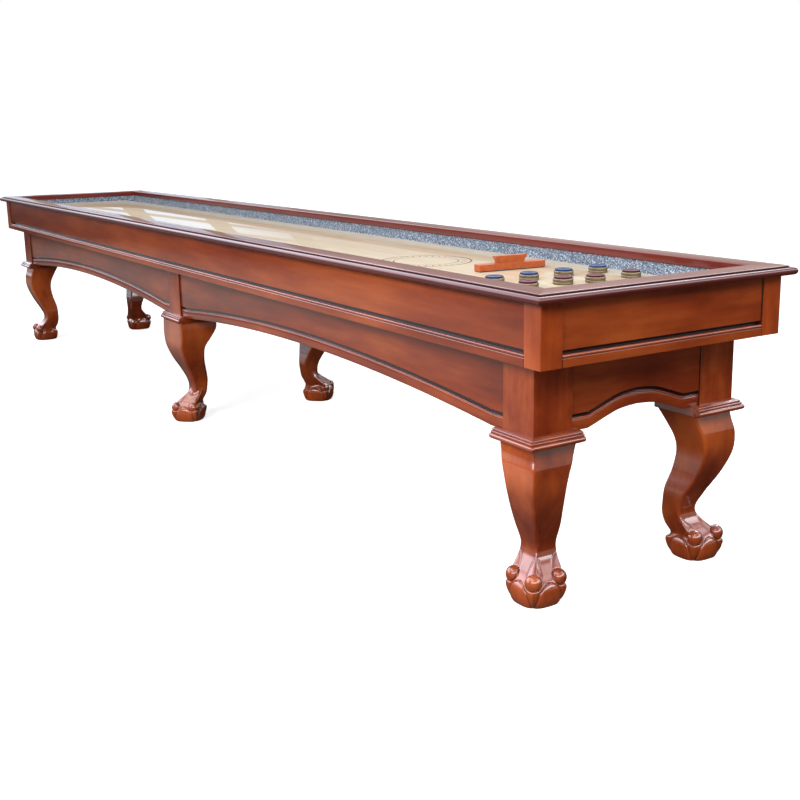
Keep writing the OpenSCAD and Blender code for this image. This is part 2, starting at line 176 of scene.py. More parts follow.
def make_world():
    """White to the camera; in reflections a dim room with bright windows low down beyond the far end."""
    world = bpy.data.worlds.new("room")
    bpy.context.scene.world = world
    world.use_nodes = True
    net = Net(world.node_tree)
    direction = net.add("TexCoord").outputs["Generated"]
    x, y, height = net.add("SeparateXYZ", {0: direction}).outputs
    away = net.times(x, -1.0)
    turn = net.math("ARCTAN2", y, away)
    # a grid of window bars, 0.07 rad apart round the room and 0.042 apart in height
    upright = net.math("GREATER_THAN", net.math("PINGPONG", net.plus(turn, 0.02), 0.035), 0.0095)
    transom = net.math("GREATER_THAN", net.math("PINGPONG", net.plus(height, 0.006), 0.021), 0.0060)
    windows = net.mix(net.times(upright, transom), (0.50, 0.41, 0.33), (1.04, 1.26, 1.56))
    toward = net.times(net.remap(turn, 0.50, 0.38), net.remap(turn, -0.9, -0.6))
    low = net.times(toward, net.remap(height, 0.20, 0.125))
    room = net.mix(net.remap(height, 0.16, 0.85), (0.27, 0.23, 0.23), (0.85, 0.86, 1.00))
    # a bright sky over the far end, kept off the back side
    beside = net.minus(height, net.times(y, 0.6))
    sky = net.times(net.remap(beside, 0.05, 0.35), net.remap(away, 0.15, 0.45))
    sky = net.times(sky, net.times(net.remap(height, 0.08, 0.36), net.remap(height, 0.74, 0.56)))
    room = net.mix(sky, room, (4.9, 4.9, 5.6))
    wall = net.times(net.remap(y, 0.35, 0.65), net.remap(height, 0.42, 0.28))
    room = net.mix(wall, room, (0.66, 0.61, 0.58))
    # soft boxes: axis and sign they lie towards, lowest and highest height, power
    boxes = [(y, 1.0, 0.60, 0.84, 3.2), (y, -1.0, 0.70, 0.96, 4.5), (x, 1.0, 0.30, 0.60, 7.0)]
    for axis, sign, bottom, top, power in boxes:
        facing = net.remap(net.times(axis, sign), 0.15, 0.40)
        band = net.times(net.remap(height, bottom, bottom + 0.08), net.remap(height, top, top - 0.08))
        room = net.tinted(room, facing, band, (power * 0.93, power * 0.95, power))
    aim = Vector((-0.35, 0.66, 0.66)).normalized()
    lamp = net.add("VectorMath", {0: direction, 1: aim}, operation="DOT_PRODUCT").outputs["Value"]
    room = net.mix(net.remap(lamp, 0.978, 0.990), room, (11.0, 11.3, 12.5))
    room = net.mix(low, room, windows)
    lit = net.add("Background", {"Color": room, "Strength": 1.0})
    plain = net.add("Background", {"Color": (1.0, 1.0, 1.0), "Strength": 1.0})
    soft = net.add("Background", {"Color": (0.95, 0.96, 1.0), "Strength": 0.45})
    seen = net.switch("Camera", net.switch("Glossy", soft, lit), plain)
    net.add("OutputWorld", {0: seen.outputs[0]})


def make_stage():
    """Pale floor; it throws little light back up, and in reflections it is pale in front and dark behind."""
    half = 30
    mesh = bpy.data.meshes.new("floor")
    corners = [(-half, -half, 0), (half, -half, 0), (half, half, 0), (-half, half, 0)]
    mesh.from_pydata(corners, [], [(0, 1, 2, 3)])
    floor = link("floor", mesh)
    paint, net, place = new_material("floor_paint")
    white = net.add("BsdfPrincipled", {"Base Color": (0.80, 0.80, 0.80), "Roughness": 0.9,
                                       "Emission Color": (1.0, 1.0, 1.0), "Emission Strength": 0.66})
    grey = net.add("BsdfDiffuse", {"Color": (0.24, 0.23, 0.24)})
    x, y, _ = net.add("SeparateXYZ", {0: place}).outputs
    front = net.mix(net.remap(x, -2.0, -8.0), (0.62, 0.60, 0.58), (0.04, 0.035, 0.035))
    tone = net.mix(net.remap(y, -1.2, -0.2), front, (0.035, 0.025, 0.022))
    mirrored = net.add("Emission", {"Color": tone})
    look = net.switch("Camera", net.switch("Glossy", grey, mirrored), white)
    net.add("OutputMaterial", {0: look.outputs[0]})
    mesh.materials.append(paint)


# ---- materials

def finish_material(net, height, distance, strength, sockets):
    """Principled surface with the given sockets, bumped by a height socket."""
    shader = net.add("BsdfPrincipled", sockets)
    bump = net.add("Bump", {"Height": height, "Distance": distance, "Strength": strength})
    net.put(shader.inputs["Normal"], bump.outputs[0])
    net.add("OutputMaterial", {0: shader.outputs[0]})


GRAIN = {"x": (1, 14, 14), "y": (14, 1, 14), "z": (14, 14, 1)}
CLOUDS = {"x": (0.22, 1, 1), "y": (1, 0.35, 1), "z": (1, 1, 0.6)}


def faded(colour, share):
    return tuple(channel * share for channel in colour)


def stained_wood(name, grain, tones, figure=0.30, coat=0.9, rough=0.40, sheen=0.08, relief=0.25,
                 coat_ior=1.5, painted_highlight=None):
    """Lacquered stain over fine grain: cloudy blotches, soft cross figure, near-black painted shade and glaze
    where shade_and_glaze marks grooves, creases, recesses and joint lines, and pale painted highlights and
    wear where highlight_and_wear marks them.
    """
    dark, mid, light = tones
    made, net, place = new_material(name)
    clouds = net.stretched(place, CLOUDS[grain])
    warp = net.noise(clouds, 2.2, 3.0)
    streak = net.noise(net.stretched(place, GRAIN[grain]), 5.0, 5.0, 0.55)
    fine = net.noise(net.stretched(place, faded(GRAIN[grain], 4.0)), 22.0, 2.0, 0.6)
    blotch = net.noise(clouds, 6.0, 5.0, 0.55)
    cross = net.noise(net.stretched(clouds, (3, 3, 3)), 5.0, 3.0, 0.5)
    tone = net.times(net.remap(streak, 0.3, 0.7), 0.15)
    tone = net.plus(tone, net.times(net.remap(blotch, 0.32, 0.68), 0.45))
    tone = net.plus(tone, net.times(net.remap(cross, 0.3, 0.7), figure))
    tone = net.plus(tone, net.times(net.remap(warp, 0.35, 0.65), 0.15))
    colour = net.mix(net.remap(tone, 0.05, 0.5), dark, mid)
    colour = net.mix(net.remap(tone, 0.5, 1.0), colour, light)
    pores = net.remap(fine, 0.58, 0.75)
    colour = net.tinted(colour, pores, 0.22, faded(dark, 0.45))
    # painted shade: near black where shade_and_glaze marks grooves, creases and recesses; also dark joint
    # lines
    colour = net.tinted(colour, net.attribute("shade_and_glaze"), 0.95, (0.006, 0.003, 0.004))
    # painted highlight: paled where highlight_and_wear marks the rails' edge line and the legs' knees and
    # feet; on the legs' ridges partly rubbed wear
    highlight_and_wear = net.times(net.attribute("highlight_and_wear"), net.remap(blotch, 0.35, 0.6, 0.25, 1.0))
    colour = net.tinted(colour, highlight_and_wear, 0.45, painted_highlight or faded(light, 1.4))
    uneven = net.plus(blotch, net.times(fine, 0.4))
    roughness = net.remap(uneven, 0.45, 0.95, rough - 0.05, rough + 0.10)
    height = net.plus(net.times(blotch, 0.5), net.times(pores, -0.12))
    finish_material(net, height, 0.0002, relief, {
        "Base Color": colour, "Roughness": roughness, "Specular IOR Level": sheen,
        "Coat Weight": coat, "Coat Roughness": 0.07, "Coat IOR": coat_ior})
    return made


def maple_top(name, ring_centre, ring_half, ring_width):
    """Narrow maple strips with end joints under a clear coat, and a plain printed oval with ticks."""
    made, net, place = new_material(name)
    x, y, z = net.add("SeparateXYZ", {0: place}).outputs
    strip_wide, block_long = 0.0318, 0.62
    across = net.math("DIVIDE", y, strip_wide)
    strip = net.math("FLOOR", across)
    offset = net.times(net.math("SINE", net.times(strip, 12.9898)), 43.7585)
    along = net.plus(net.math("DIVIDE", x, block_long), offset)
    cell = net.add("CombineXYZ", {0: strip, 1: net.math("FLOOR", along), 2: 0.0}).outputs[0]
    tint = net.add("TexWhiteNoise", {"Vector": cell}, noise_dimensions="3D").outputs[0]
    shifted = net.add("VectorMath", {0: place, 1: cell}, operation="ADD").outputs[0]
    grain = net.noise(net.stretched(shifted, (1.2, 22, 22)), 7.0, 6.0, 0.6, 1.2)
    fleck = net.noise(net.stretched(shifted, (12, 90, 90)), 9.0, 2.0, 0.6)
    cloud = net.noise(place, 2.4, 3.0)
    colour = net.mix(net.remap(tint, 0.0, 1.0, 0.15, 0.85), (0.475, 0.395, 0.28), (0.545, 0.475, 0.36))
    colour = net.tinted(colour, net.remap(grain, 0.42, 0.66), 0.34, (0.39, 0.295, 0.185))
    colour = net.tinted(colour, net.remap(fleck, 0.58, 0.75), 0.18, (0.29, 0.195, 0.105))
    colour = net.tinted(colour, net.remap(cloud, 0.3, 0.7), 0.25, (0.53, 0.465, 0.365))
    seam = net.math("MAXIMUM", net.remap(net.from_half(across), 0.490, 0.498),
                    net.remap(net.from_half(along), 0.4990, 0.4996))
    colour = net.tinted(colour, seam, 0.35, (0.40, 0.26, 0.14))
    # the oval: a ring, a finer ring inside it at 0.72 of its size, and 36 ticks between them
    u = net.math("DIVIDE", net.minus(x, ring_centre[0]), ring_half[0])
    v = net.math("DIVIDE", net.minus(y, ring_centre[1]), ring_half[1])
    radius = net.math("SQRT", net.plus(net.times(u, u), net.times(v, v)))

    def off_ring(share):
        return net.times(net.math("ABSOLUTE", net.minus(radius, share)), ring_half[1])

    ring = net.math("MAXIMUM", net.remap(off_ring(1.0), ring_width, ring_width * 0.6),
                    net.remap(off_ring(0.72), ring_width * 0.6, ring_width * 0.3))
    angle = net.times(net.math("ARCTAN2", v, u), 36 / (2 * math.pi))
    ticks = net.math("LESS_THAN", net.from_half(angle), 0.09)
    between = net.times(net.math("GREATER_THAN", radius, 0.80), net.math("LESS_THAN", radius, 0.93))
    on_top = net.math("GREATER_THAN", z, float(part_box("playfield")[1].z) - 0.0006)
    printed = net.times(net.math("MAXIMUM", ring, net.times(ticks, between)), on_top)
    colour = net.tinted(colour, printed, 0.85, (0.055, 0.05, 0.05))
    roughness = net.remap(net.noise(place, 30.0, 4.0), 0.3, 0.7, 0.38, 0.48)
    finish_material(net, grain, 0.00003, 0.3, {
        "Base Color": colour, "Roughness": roughness, "Specular IOR Level": 0.0,
        "Coat Weight": 0.65, "Coat Roughness": 0.03, "Coat IOR": 1.42})
    return made


def carpet_cloth(name):
    """Short blue-grey pile with fine dark and pale flecks."""
    made, net, place = new_material(name)
    tufts = net.add("TexVoronoi", {"Vector": place, "Scale": 520.0}, feature="F1")
    fleck = net.add("TexVoronoi", {"Vector": place, "Scale": 330.0}, feature="F1")
    tone = net.add("SeparateColor", {0: fleck.outputs["Color"]}).outputs[0]
    cloud = net.noise(place, 11.0, 4.0)
    clump = net.noise(place, 130.0, 3.0, 0.6)
    colour = net.mix(net.remap(tone, 0.1, 0.9), (0.040, 0.060, 0.095), (0.27, 0.33, 0.41))
    colour = net.tinted(colour, net.remap(tone, 0.84, 0.90), 0.85, (0.66, 0.72, 0.80))
    colour = net.tinted(colour, net.remap(clump, 0.45, 0.70), 0.20, (0.08, 0.11, 0.16))
    colour = net.tinted(colour, net.remap(cloud, 0.3, 0.7), 0.15, (0.17, 0.22, 0.29))
    fuzz = net.times(net.noise(place, 900.0, 2.0), 0.5)
    height = net.minus(fuzz, tufts.outputs["Distance"])
    finish_material(net, height, 0.001, 0.8, {
        "Base Color": colour, "Roughness": 0.95, "Sheen Weight": 0.2, "Sheen Roughness": 0.5,
        "Specular IOR Level": 0.1})
    return made


def metal(name, low, high, rough, brush, tarnish, amount):
    """Brushed metal, its marks stretched by brush, with a tarnished patina, and painted shade in its grooves
    and recesses where shade_and_glaze marks them.
    """
    made, net, place = new_material(name)
    brushed = net.noise(net.stretched(place, brush), 6.0, 3.0, 0.7)
    patina = net.noise(place, 160.0, 4.0, 0.6)
    colour = net.mix(net.remap(brushed, 0.3, 0.7), low, high)
    colour = net.tinted(colour, net.remap(patina, 0.45, 0.7), amount, tarnish)
    # painted shade in grooves and recesses, and on alternate knurl points
    colour = net.tinted(colour, net.attribute("shade_and_glaze"), 0.8, faded(low, 0.25))
    roughness = net.remap(brushed, 0.25, 0.75, rough - 0.06, rough + 0.10)
    finish_material(net, brushed, 0.00008, 0.7, {
        "Base Color": colour, "Roughness": roughness, "Metallic": 0.9})
    return made


def moulded(name, low, high, rough, gloss, coat):
    """Moulded or painted surface with faint mottling, scuffs and orange peel."""
    made, net, place = new_material(name)
    mottle = net.noise(place, 70.0, 4.0, 0.6)
    scuff = net.noise(net.stretched(place, (8, 60, 8)), 30.0, 3.0, 0.7)
    peel = net.noise(place, 420.0, 2.0)
    colour = net.mix(net.remap(mottle, 0.3, 0.7), low, high)
    colour = net.tinted(colour, net.remap(scuff, 0.6, 0.75), 0.25, faded(low, 0.5))
    # painted shade in the steps and recesses marked by shade_and_glaze
    colour = net.tinted(colour, net.attribute("shade_and_glaze"), 0.8, faded(low, 0.3))
    # pale lavender grey where highlight_and_wear marks it: the caps' ring crowns
    colour = net.mix(net.attribute("highlight_and_wear"), colour, (0.62, 0.60, 0.66))
    roughness = net.remap(scuff, 0.3, 0.8, rough - 0.05, rough + 0.15)
    finish_material(net, peel, 0.00006, 0.5, {
        "Base Color": colour, "Roughness": roughness, "Specular IOR Level": gloss,
        "Coat Weight": coat, "Coat Roughness": 0.1})
    return made


def bare_board(name):
    """Plain unfinished board for the parts nobody sees."""
    made, net, place = new_material(name)
    rings = net.noise(net.stretched(place, (1, 18, 18)), 6.0, 6.0, 0.6, 1.0)
    fibre = net.noise(net.stretched(place, (6, 160, 160)), 8.0, 2.0)
    colour = net.mix(net.remap(rings, 0.35, 0.65), (0.50, 0.34, 0.19), (0.68, 0.52, 0.34))
    colour = net.tinted(colour, net.remap(fibre, 0.5, 0.75), 0.3, (0.36, 0.23, 0.12))
    finish_material(net, net.plus(rings, fibre), 0.0003, 0.5, {"Base Color": colour, "Roughness": 0.72})
    return made


def pressed_felt(name):
    made, net, place = new_material(name)
    fibre = net.noise(place, 700.0, 4.0, 0.7, 1.5)
    cloud = net.noise(place, 90.0, 3.0)
    colour = net.mix(net.remap(fibre, 0.3, 0.7), (0.018, 0.018, 0.022), (0.07, 0.07, 0.08))
    colour = net.tinted(colour, net.remap(cloud, 0.3, 0.7), 0.3, (0.05, 0.05, 0.06))
    finish_material(net, fibre, 0.0005, 0.8, {"Base Color": colour, "Roughness": 0.95, "Sheen Weight": 0.4})
    return made


# ---- mesh helpers

def fillet(points, radii, steps=4):
    """Closed outline with each corner rounded by its radius (0 keeps it sharp)."""
    out = []
    count = len(points)
    for i, (p, r) in enumerate(zip(points, radii)):
        p = np.array(p, float)
        if r <= 0:
            out.append(tuple(p))
            continue
        back = np.array(points[i - 1], float) - p
        ahead = np.array(points[(i + 1) % count], float) - p
        reach = min(r, 0.49 * np.linalg.norm(back), 0.49 * np.linalg.norm(ahead))
        a = p + back / np.linalg.norm(back) * reach
        b = p + ahead / np.linalg.norm(ahead) * reach
        for k in range(steps + 1):
            t = k / steps
            out.append(tuple((1 - t) ** 2 * a + 2 * t * (1 - t) * p + t * t * b))
    return out


def arc(centre, r, start, end, steps):
    """Points on an arc, angles in degrees."""
    angles = [math.radians(start + (end - start) * k / steps) for k in range(steps + 1)]
    return [(centre[0] + r * math.cos(a), centre[1] + r * math.sin(a)) for a in angles]


def mesh_object(name, verts, faces, material, sharp=35, attributes=None):
    """Object from points and faces, shaded smooth except at edges sharper than the given angle."""
    mesh = bpy.data.meshes.new(name)
    mesh.from_pydata([tuple(map(float, v)) for v in verts], [], [tuple(map(int, f)) for f in faces])
    mesh.validate()
    for key, values in (attributes or {}).items():
        layer = mesh.attributes.new(key, "FLOAT", "POINT")
        layer.data.foreach_set("value", np.asarray(values, np.float32))
    made = link(name, mesh)
    bm = bmesh.new()
    bm.from_mesh(mesh)
    bmesh.ops.recalc_face_normals(bm, faces=bm.faces)
    bm.to_mesh(mesh)
    bm.free()
    mesh.polygons.foreach_set("use_smooth", [True] * len(mesh.polygons))
    mesh.set_sharp_from_angle(angle=math.radians(sharp))
    mesh.materials.append(material)
    return made


def ring_faces(count, spans, rings, start=0):
    """Quads between successive rings of count points each; the ring after the last is the first."""
    faces = []
    for i in range(spans):
        a, b = start + i * count, start + (i + 1) % rings * count
        for k in range(count):
            n = (k + 1) % count
            faces.append((a + k, a + n, b + n, b + k))
    return faces


def end_faces(count, rings, start=0):
    """The faces that close the first and the last ring."""
    last = start + (rings - 1) * count
    return [tuple(range(start, start + count))[::-1], tuple(range(last, last + count))]


def loft(name, rings, material, loop=False, sharp=35, attributes=None):
    """Closed skin over rings of equal length; loop joins the last ring to the first."""
    count = len(rings[0])
    verts = [p for ring in rings for p in ring]
    if loop:
        faces = ring_faces(count, len(rings), len(rings))
    else:
        faces = ring_faces(count, len(rings) - 1, len(rings)) + end_faces(count, len(rings))
    return mesh_object(name, verts, faces, material, sharp, attributes)


def bevel(piece, width, segments=2, angle=40):
    """Eased edges, width in metres."""
    made = piece.modifiers.new("edge_ease", "BEVEL")
    made.width = width
    made.segments = segments
    made.limit_method = "ANGLE"
    made.angle_limit = math.radians(angle)
    made.harden_normals = True
    return piece


def place_piece(piece, body, node):
    """The piece rides on a body and stands in for a CAD node, which is hidden."""
    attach(piece, body)
    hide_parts(node)


def spread(values, count):
    """The per-ring values repeated for every ring."""
    return list(values) * count


# ---- rails and cabinet

def rail_section():
    """(distance out from the inner edge, height) in mm, with its painted shade (groove near black, bullnose
    darkened, partly a darker stain) and its painted highlight line along the flat's outer edge.
    """
    thick, bull_r = 24.5, 9.9
    flat = RAIL_WIDTH - 16.7
    centre = (RAIL_WIDTH - bull_r, bull_r)
    head = fillet([(0, 0), (0, thick), (flat, thick), (flat, thick - 2.6)], [1.0, 3.5, 2.4, 0.0], 5)
    groove = [(flat, thick - 2.8), (flat + 0.1, thick - 6.4),
              (flat + 0.9, thick - 7.0), (flat + 3.0, thick - 6.6)]
    bull = arc(centre, bull_r, 110, -90, 20)
    outline = head + groove + bull
    # painted shade: the groove near black, the bullnose darkened, partly a darker stain
    shade_and_glaze = [0.0] * len(head) + [1.0] * len(groove) + [0.8] + [0.45] * (len(bull) - 1)
    # painted highlight: a pale line on the flat's rounded outer edge
    painted_highlight = [0.0] * (len(head) - 7) + [0.3, 1.0, 1.0, 1.0, 1.0, 0.6, 0.0] + [0.0] * (len(groove) + len(bull))
    return outline, shade_and_glaze, painted_highlight


def make_rails(wood_x, wood_y):
    outline, shade_and_glaze, painted_highlight = rail_section()
    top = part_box("rail_front")
    out_x, out_y, base = top[1].x, -top[0].y, top[0].z
    # along the board: end, how far short of it, and how dark the mitre's edge is
    half_stops = [(-1, 0.0, 0.8), (-1, 0.0010, 0.0), (-0.5, 0, 0)]
    stops = half_stops + [(0, 0, 0)] + [(-end, back_off, mitre) for end, back_off, mitre in half_stops[::-1]]
    for side in SIDES + ENDS:
        sign = SIGN[side]
        rings, dark = [], []
        for end, back_off, mitre in stops:
            ring = []
            for d, z in outline:
                inset = (RAIL_WIDTH - d) * MM
                along_half = (out_x if side in SIDES else out_y) - inset - back_off
                across = (out_y if side in SIDES else out_x) - inset
                along = end * along_half
                point = (along, sign * across) if side in SIDES else (sign * across, along)
                ring.append((*point, base + z * MM))
            rings.append(ring)
            dark += [max(g, mitre) for g in shade_and_glaze]
        wood = wood_x if side in SIDES else wood_y
        # painted shade in the groove and on the bullnose, dark mitre lines, and the painted highlight line
        looks = {"shade_and_glaze": dark, "highlight_and_wear": spread(painted_highlight, len(rings))}
        piece = loft(f"rail_{side}_board", rings, wood, attributes=looks)
        place_piece(piece, ROOT, f"rail_{side}")


def make_posts(wood):
    for end in ENDS:
        for side in SIDES:
            node = f"post_{end}_{side}"
            low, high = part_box(node)
            sx, sy = SIGN[end], SIGN[side]
            out_x, out_y = max(abs(low.x), abs(high.x)), max(abs(low.y), abs(high.y))
            in_x, in_y = min(abs(low.x), abs(high.x)), min(abs(low.y), abs(high.y))
            wall, lip = 0.050, 0.0022
            notch_x, notch_y = out_x - wall, out_y - wall
            face = fillet([(in_x, out_y), (out_x, out_y), (out_x, in_y)], [0.0008, lip, 0.0008], 3)
            hidden = [(out_x - lip, in_y), (notch_x, in_y), (notch_x, notch_y),
                      (in_x, notch_y), (in_x, out_y - lip)]
            plan = face + hidden
            # painted shade: every face but the two outer ones is darkened
            dark = [0.0] * len(face) + [0.9] * len(hidden)
            rings = [[(sx * x, sy * y, z) for x, y in plan] for z in (low.z, high.z)]
            piece = loft(f"{node}_timber", rings, wood, attributes={"shade_and_glaze": spread(dark, 2)})
            place_piece(bevel(piece, 0.0008), ROOT, node)


def long_piece(name, outline, side, inner, base, half, wood, shade_and_glaze, seam=None):
    """Board along one wall: outline is (distance from its inner face, height) in mm; its ends are darkened
    with painted shade where they meet the posts, and a seam gets a dark joint line.
    """
    sign = SIGN[side]
    shade = 0.0022
    # painted shade at both ends where the board meets the posts
    stops = [(-half, 0.9), (-half + shade, 0.0), (0.0, 0.0), (half - shade, 0.0), (half, 0.9)]
    if seam is not None:
        stops += [(seam - 0.0008, 0.0), (seam, 0.55), (seam + 0.0008, 0.0)]
    rings, dark = [], []
    for along, amount in sorted(stops):
        across = [(sign * (inner + d * MM), base + z * MM) for d, z in outline]
        rings.append([(along, v, z) if side in SIDES else (v, along, z) for v, z in across])
        dark += [max(g, amount) for g in shade_and_glaze]
    return loft(name, rings, wood, attributes={"shade_and_glaze": dark})


def make_walls(wood_x, wood_y):
    """Panels with a groove darkened by painted shade, and below it the applied band with its bead, with
    painted shade in the quirk above the band and along its top.
    """
    groove_low, groove_high, groove_floor, thick, tall = 30, 39, 36, 44, 153
    head = [(0, 0), (thick, 0), (thick, groove_low)]
    groove = [(groove_floor, groove_low + 0.5), (groove_floor, groove_high - 1.5),
              (thick - 1.2, groove_high - 0.3)]
    brow = fillet([(thick, groove_high + 0.6), (thick, tall), (0, tall)], [0.8, 0.5, 0])
    panel = head + groove + brow
    # painted shade: the groove near black, a little under the brow
    panel_shade_and_glaze = [0, 0, 1] + [1, 1, 0.8] + [0.2] + [0.0] * (len(brow) - 1)
    bead = arc((1.5, 25.5), 4.4, -58, 90, 9)
    band = fillet([(0, 0), (6, 0), (6, 20.4)], [0, 0.8, 0.5]) + [(4.9, 21.3)] + bead + [(0, 29.9)]
    # painted shade in the quirk below the bead and at the band's top back edge
    band_shade_and_glaze = [0.0] * (len(band) - len(bead) - 2) + [0.85, 0.2] + [0.0] * (len(bead) - 1) + [0.4]
    for side in SIDES + ENDS:
        low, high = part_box(f"panel_{side}")
        inner = min(abs(low.y), abs(high.y)) if side in SIDES else min(abs(low.x), abs(high.x))
        half = high.x if side in SIDES else high.y
        wood = wood_x if side in SIDES else wood_y
        seam = -0.175 if side in SIDES else None
        piece = long_piece(f"panel_{side}_board", panel, side, inner, low.z, half, wood, panel_shade_and_glaze, seam)
        place_piece(piece, ROOT, f"panel_{side}")
        strip = long_piece(f"band_{side}_strip", band, side, inner + thick * MM, low.z, half - 0.0006,
                           wood, band_shade_and_glaze)
        place_piece(bevel(strip, 0.0005), ROOT, f"band_{side}")


# ---- leg blocks, collars, aprons

def block_centres():
    """Places of the six legs: (node part, x, y, sign x, sign y)."""
    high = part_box("leg_blocks")[1]
    x, y = high.x - BLOCK_HALF, high.y - BLOCK_HALF
    return [(f"{end}_{side}", sx * x, SIGN[side] * y, sx, SIGN[side])
            for end, sx in (("near", 1), ("middle", 0), ("far", -1)) for side in SIDES]


def make_blocks(wood):
    """Six square timbers in one piece, with eased edges and painted shade on every face but the outer ones,
    where the aprons meet them.
    """
    low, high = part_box("leg_blocks")
    verts, faces, dark = [], [], []
    half, ease, lip = BLOCK_HALF, 0.0018, 0.0026
    for _, x, y, sx, sy in block_centres():
        outer = [(-1, 0)] * (sx < 0) + [(1, 0)] * (sx > 0) + [(0, sy)]
        plan, shade = [], []
        for nx, ny in ((0, -1), (1, 0), (0, 1), (-1, 0)):
            tx, ty = -ny, nx
            # painted shade on the faces that are not outer ones
            amount = 0.0 if (nx, ny) in outer else 0.9
            for t in (-half + lip, half - lip):
                plan.append((nx * half + tx * t, ny * half + ty * t))
                shade.append(amount)
            for k in range(1, 4):
                a = math.pi / 2 * k / 4
                c, s = math.cos(a), math.sin(a)
                plan.append(((nx + tx) * (half - ease) + ease * (nx * c + tx * s),
                             (ny + ty) * (half - ease) + ease * (ny * c + ty * s)))
                shade.append(0.0)
        start, count = len(verts), len(plan)
        for z in (low.z, high.z):
            verts += [(x + u, y + v, z) for u, v in plan]
            dark += shade
        faces += ring_faces(count, 1, 2, start) + end_faces(count, 2, start)
    piece = mesh_object("leg_blocks_timber", verts, faces, wood, attributes={"shade_and_glaze": dark})
    place_piece(piece, ROOT, "leg_blocks")


def collar_section():
    """(distance from the block's face, height) in mm and painted shade, dark in the cove and the quirks,
    bottom to top: cove, nose and two beads.
    """
    # second item of each run: painted shade, dark in the cove and the quirks between nose and beads
    runs = [([(6.0, 0.0), (13.0, 0.0), (15.2, 0.8), (16.4, 2.4)], 0.25),
            (arc((20.3, 10.2), 6.6, -118, 84, 16), 0.0), ([(19.9, 17.3)], 0.9),
            (arc((18.4, 20.0), 2.7, -58, 96, 8), 0.0), ([(16.2, 23.1)], 0.9),
            (arc((14.3, 25.6), 2.7, -50, 88, 8), 0.0), ([(12.6, 28.7)], 0.4),
            (arc((9.6, 26.6), 3.4, 40, 90, 5), 0.0), ([(0.0, 30.0)], 0.0)]
    outline, shade_and_glaze = [], []
    for points, amount in runs:
        outline += points
        shade_and_glaze += [amount] * len(points)
    return outline, shade_and_glaze


COLLAR_ENDS = ((0.0, 3.2), (0.0008, 1.6), (0.0022, 0.5), (0.0045, 0.0))


def eased(outline, shrink):
    """Collar section drawn in by shrink mm, for the rounded end of a moulding."""
    return [(max(d - shrink, 0.0), 15 + (z - 15) * (1 - shrink / 15)) for d, z in outline]


def corner_collar(name, cx, cy, sx, sy, wood):
    """Moulding turned round the two outer faces; its corner is blunted in proportion to its reach."""
    outline, shade_and_glaze = collar_section()
    half, back, steps = BLOCK_HALF, 0.0838, 6
    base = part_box("corner_collars")[0].z
    plan_rings = [[(-back + off, half + d * MM, z) for d, z in eased(outline, shrink)]
                  for off, shrink in COLLAR_ENDS]
    for stage in range(steps + 1):
        angle = math.radians(90 - 90 * stage / steps)
        ring = []
        for d, z in outline:
            out, blunt = half + d * MM, 0.30 * d * MM
            ring.append((out - blunt + blunt * math.cos(angle), out - blunt + blunt * math.sin(angle), z))
        plan_rings.append(ring)
    plan_rings += [[(half + d * MM, -back + off, z) for d, z in eased(outline, shrink)]
                   for off, shrink in COLLAR_ENDS[::-1]]
    rings = [[(cx + sx * u, cy + sy * v, base + z * MM) for u, v, z in ring] for ring in plan_rings]
    return loft(name, rings, wood, sharp=50, attributes={"shade_and_glaze": spread(shade_and_glaze, len(rings))})


def collar_plate(name, low, high, wood):
    """Plain bevelled board under a leg block."""
    x0, y0, z0 = low
    x1, y1, z1 = high
    ring = [(x0, y0), (x1, y0), (x1, y1), (x0, y1)]
    return bevel(loft(name, [[(x, y, z) for x, y in ring] for z in (z0, z1)], wood), 0.0015)


def join(pieces, name):
    """One object from several, keeping their faces and attributes, with modifiers applied."""
    bpy.ops.object.select_all(action="DESELECT")
    for p in pieces:
        bpy.context.view_layer.objects.active = p
        for m in list(p.modifiers):
            bpy.ops.object.modifier_apply(modifier=m.name)
    for p in pieces:
        p.select_set(True)
    bpy.context.view_layer.objects.active = pieces[0]
    bpy.ops.object.join()
    pieces[0].name = name
    return pieces[0]


def make_collars(wood):
    """Mouldings round the outer faces of the blocks, each on a plate that reaches under its block."""
    low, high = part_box("corner_collars")
    z0, z1 = low.z + 0.0005, high.z - 0.0004
    inside, outside = 0.0832, 0.066
    corner, middle = [], []
    outline, shade_and_glaze = collar_section()
    for name, cx, cy, sx, sy in block_centres():
        if sx:
            corner.append(corner_collar(f"collar_{name}", cx, cy, sx, sy, wood))
            xs = sorted((cx - sx * inside, cx + sx * outside))
            ys = sorted((cy - sy * inside, cy + sy * outside))
            corner.append(collar_plate(f"plate_{name}", (xs[0], ys[0], z0), (xs[1], ys[1], z1), wood))
        else:
            half, reach = 0.098, 0.080
            stops = [(-half + off, shrink) for off, shrink in COLLAR_ENDS]
            stops += [(half - off, shrink) for off, shrink in COLLAR_ENDS[::-1]]
            rings = [[(x, cy + sy * (BLOCK_HALF + d * MM), low.z + z * MM) for d, z in eased(outline, shrink)]
                     for x, shrink in stops]
            middle.append(loft(f"collar_{name}", rings, wood, sharp=50,
                               attributes={"shade_and_glaze": spread(shade_and_glaze, len(rings))}))
            half -= 0.0005
            ys = sorted((cy - sy * reach, cy + sy * outside))
            middle.append(collar_plate(f"plate_{name}", (-half, ys[0], z0), (half, ys[1], z1), wood))
    place_piece(join(corner, "corner_collars_moulding"), ROOT, "corner_collars")
    place_piece(join(middle, "middle_collars_moulding"), ROOT, "middle_collars")


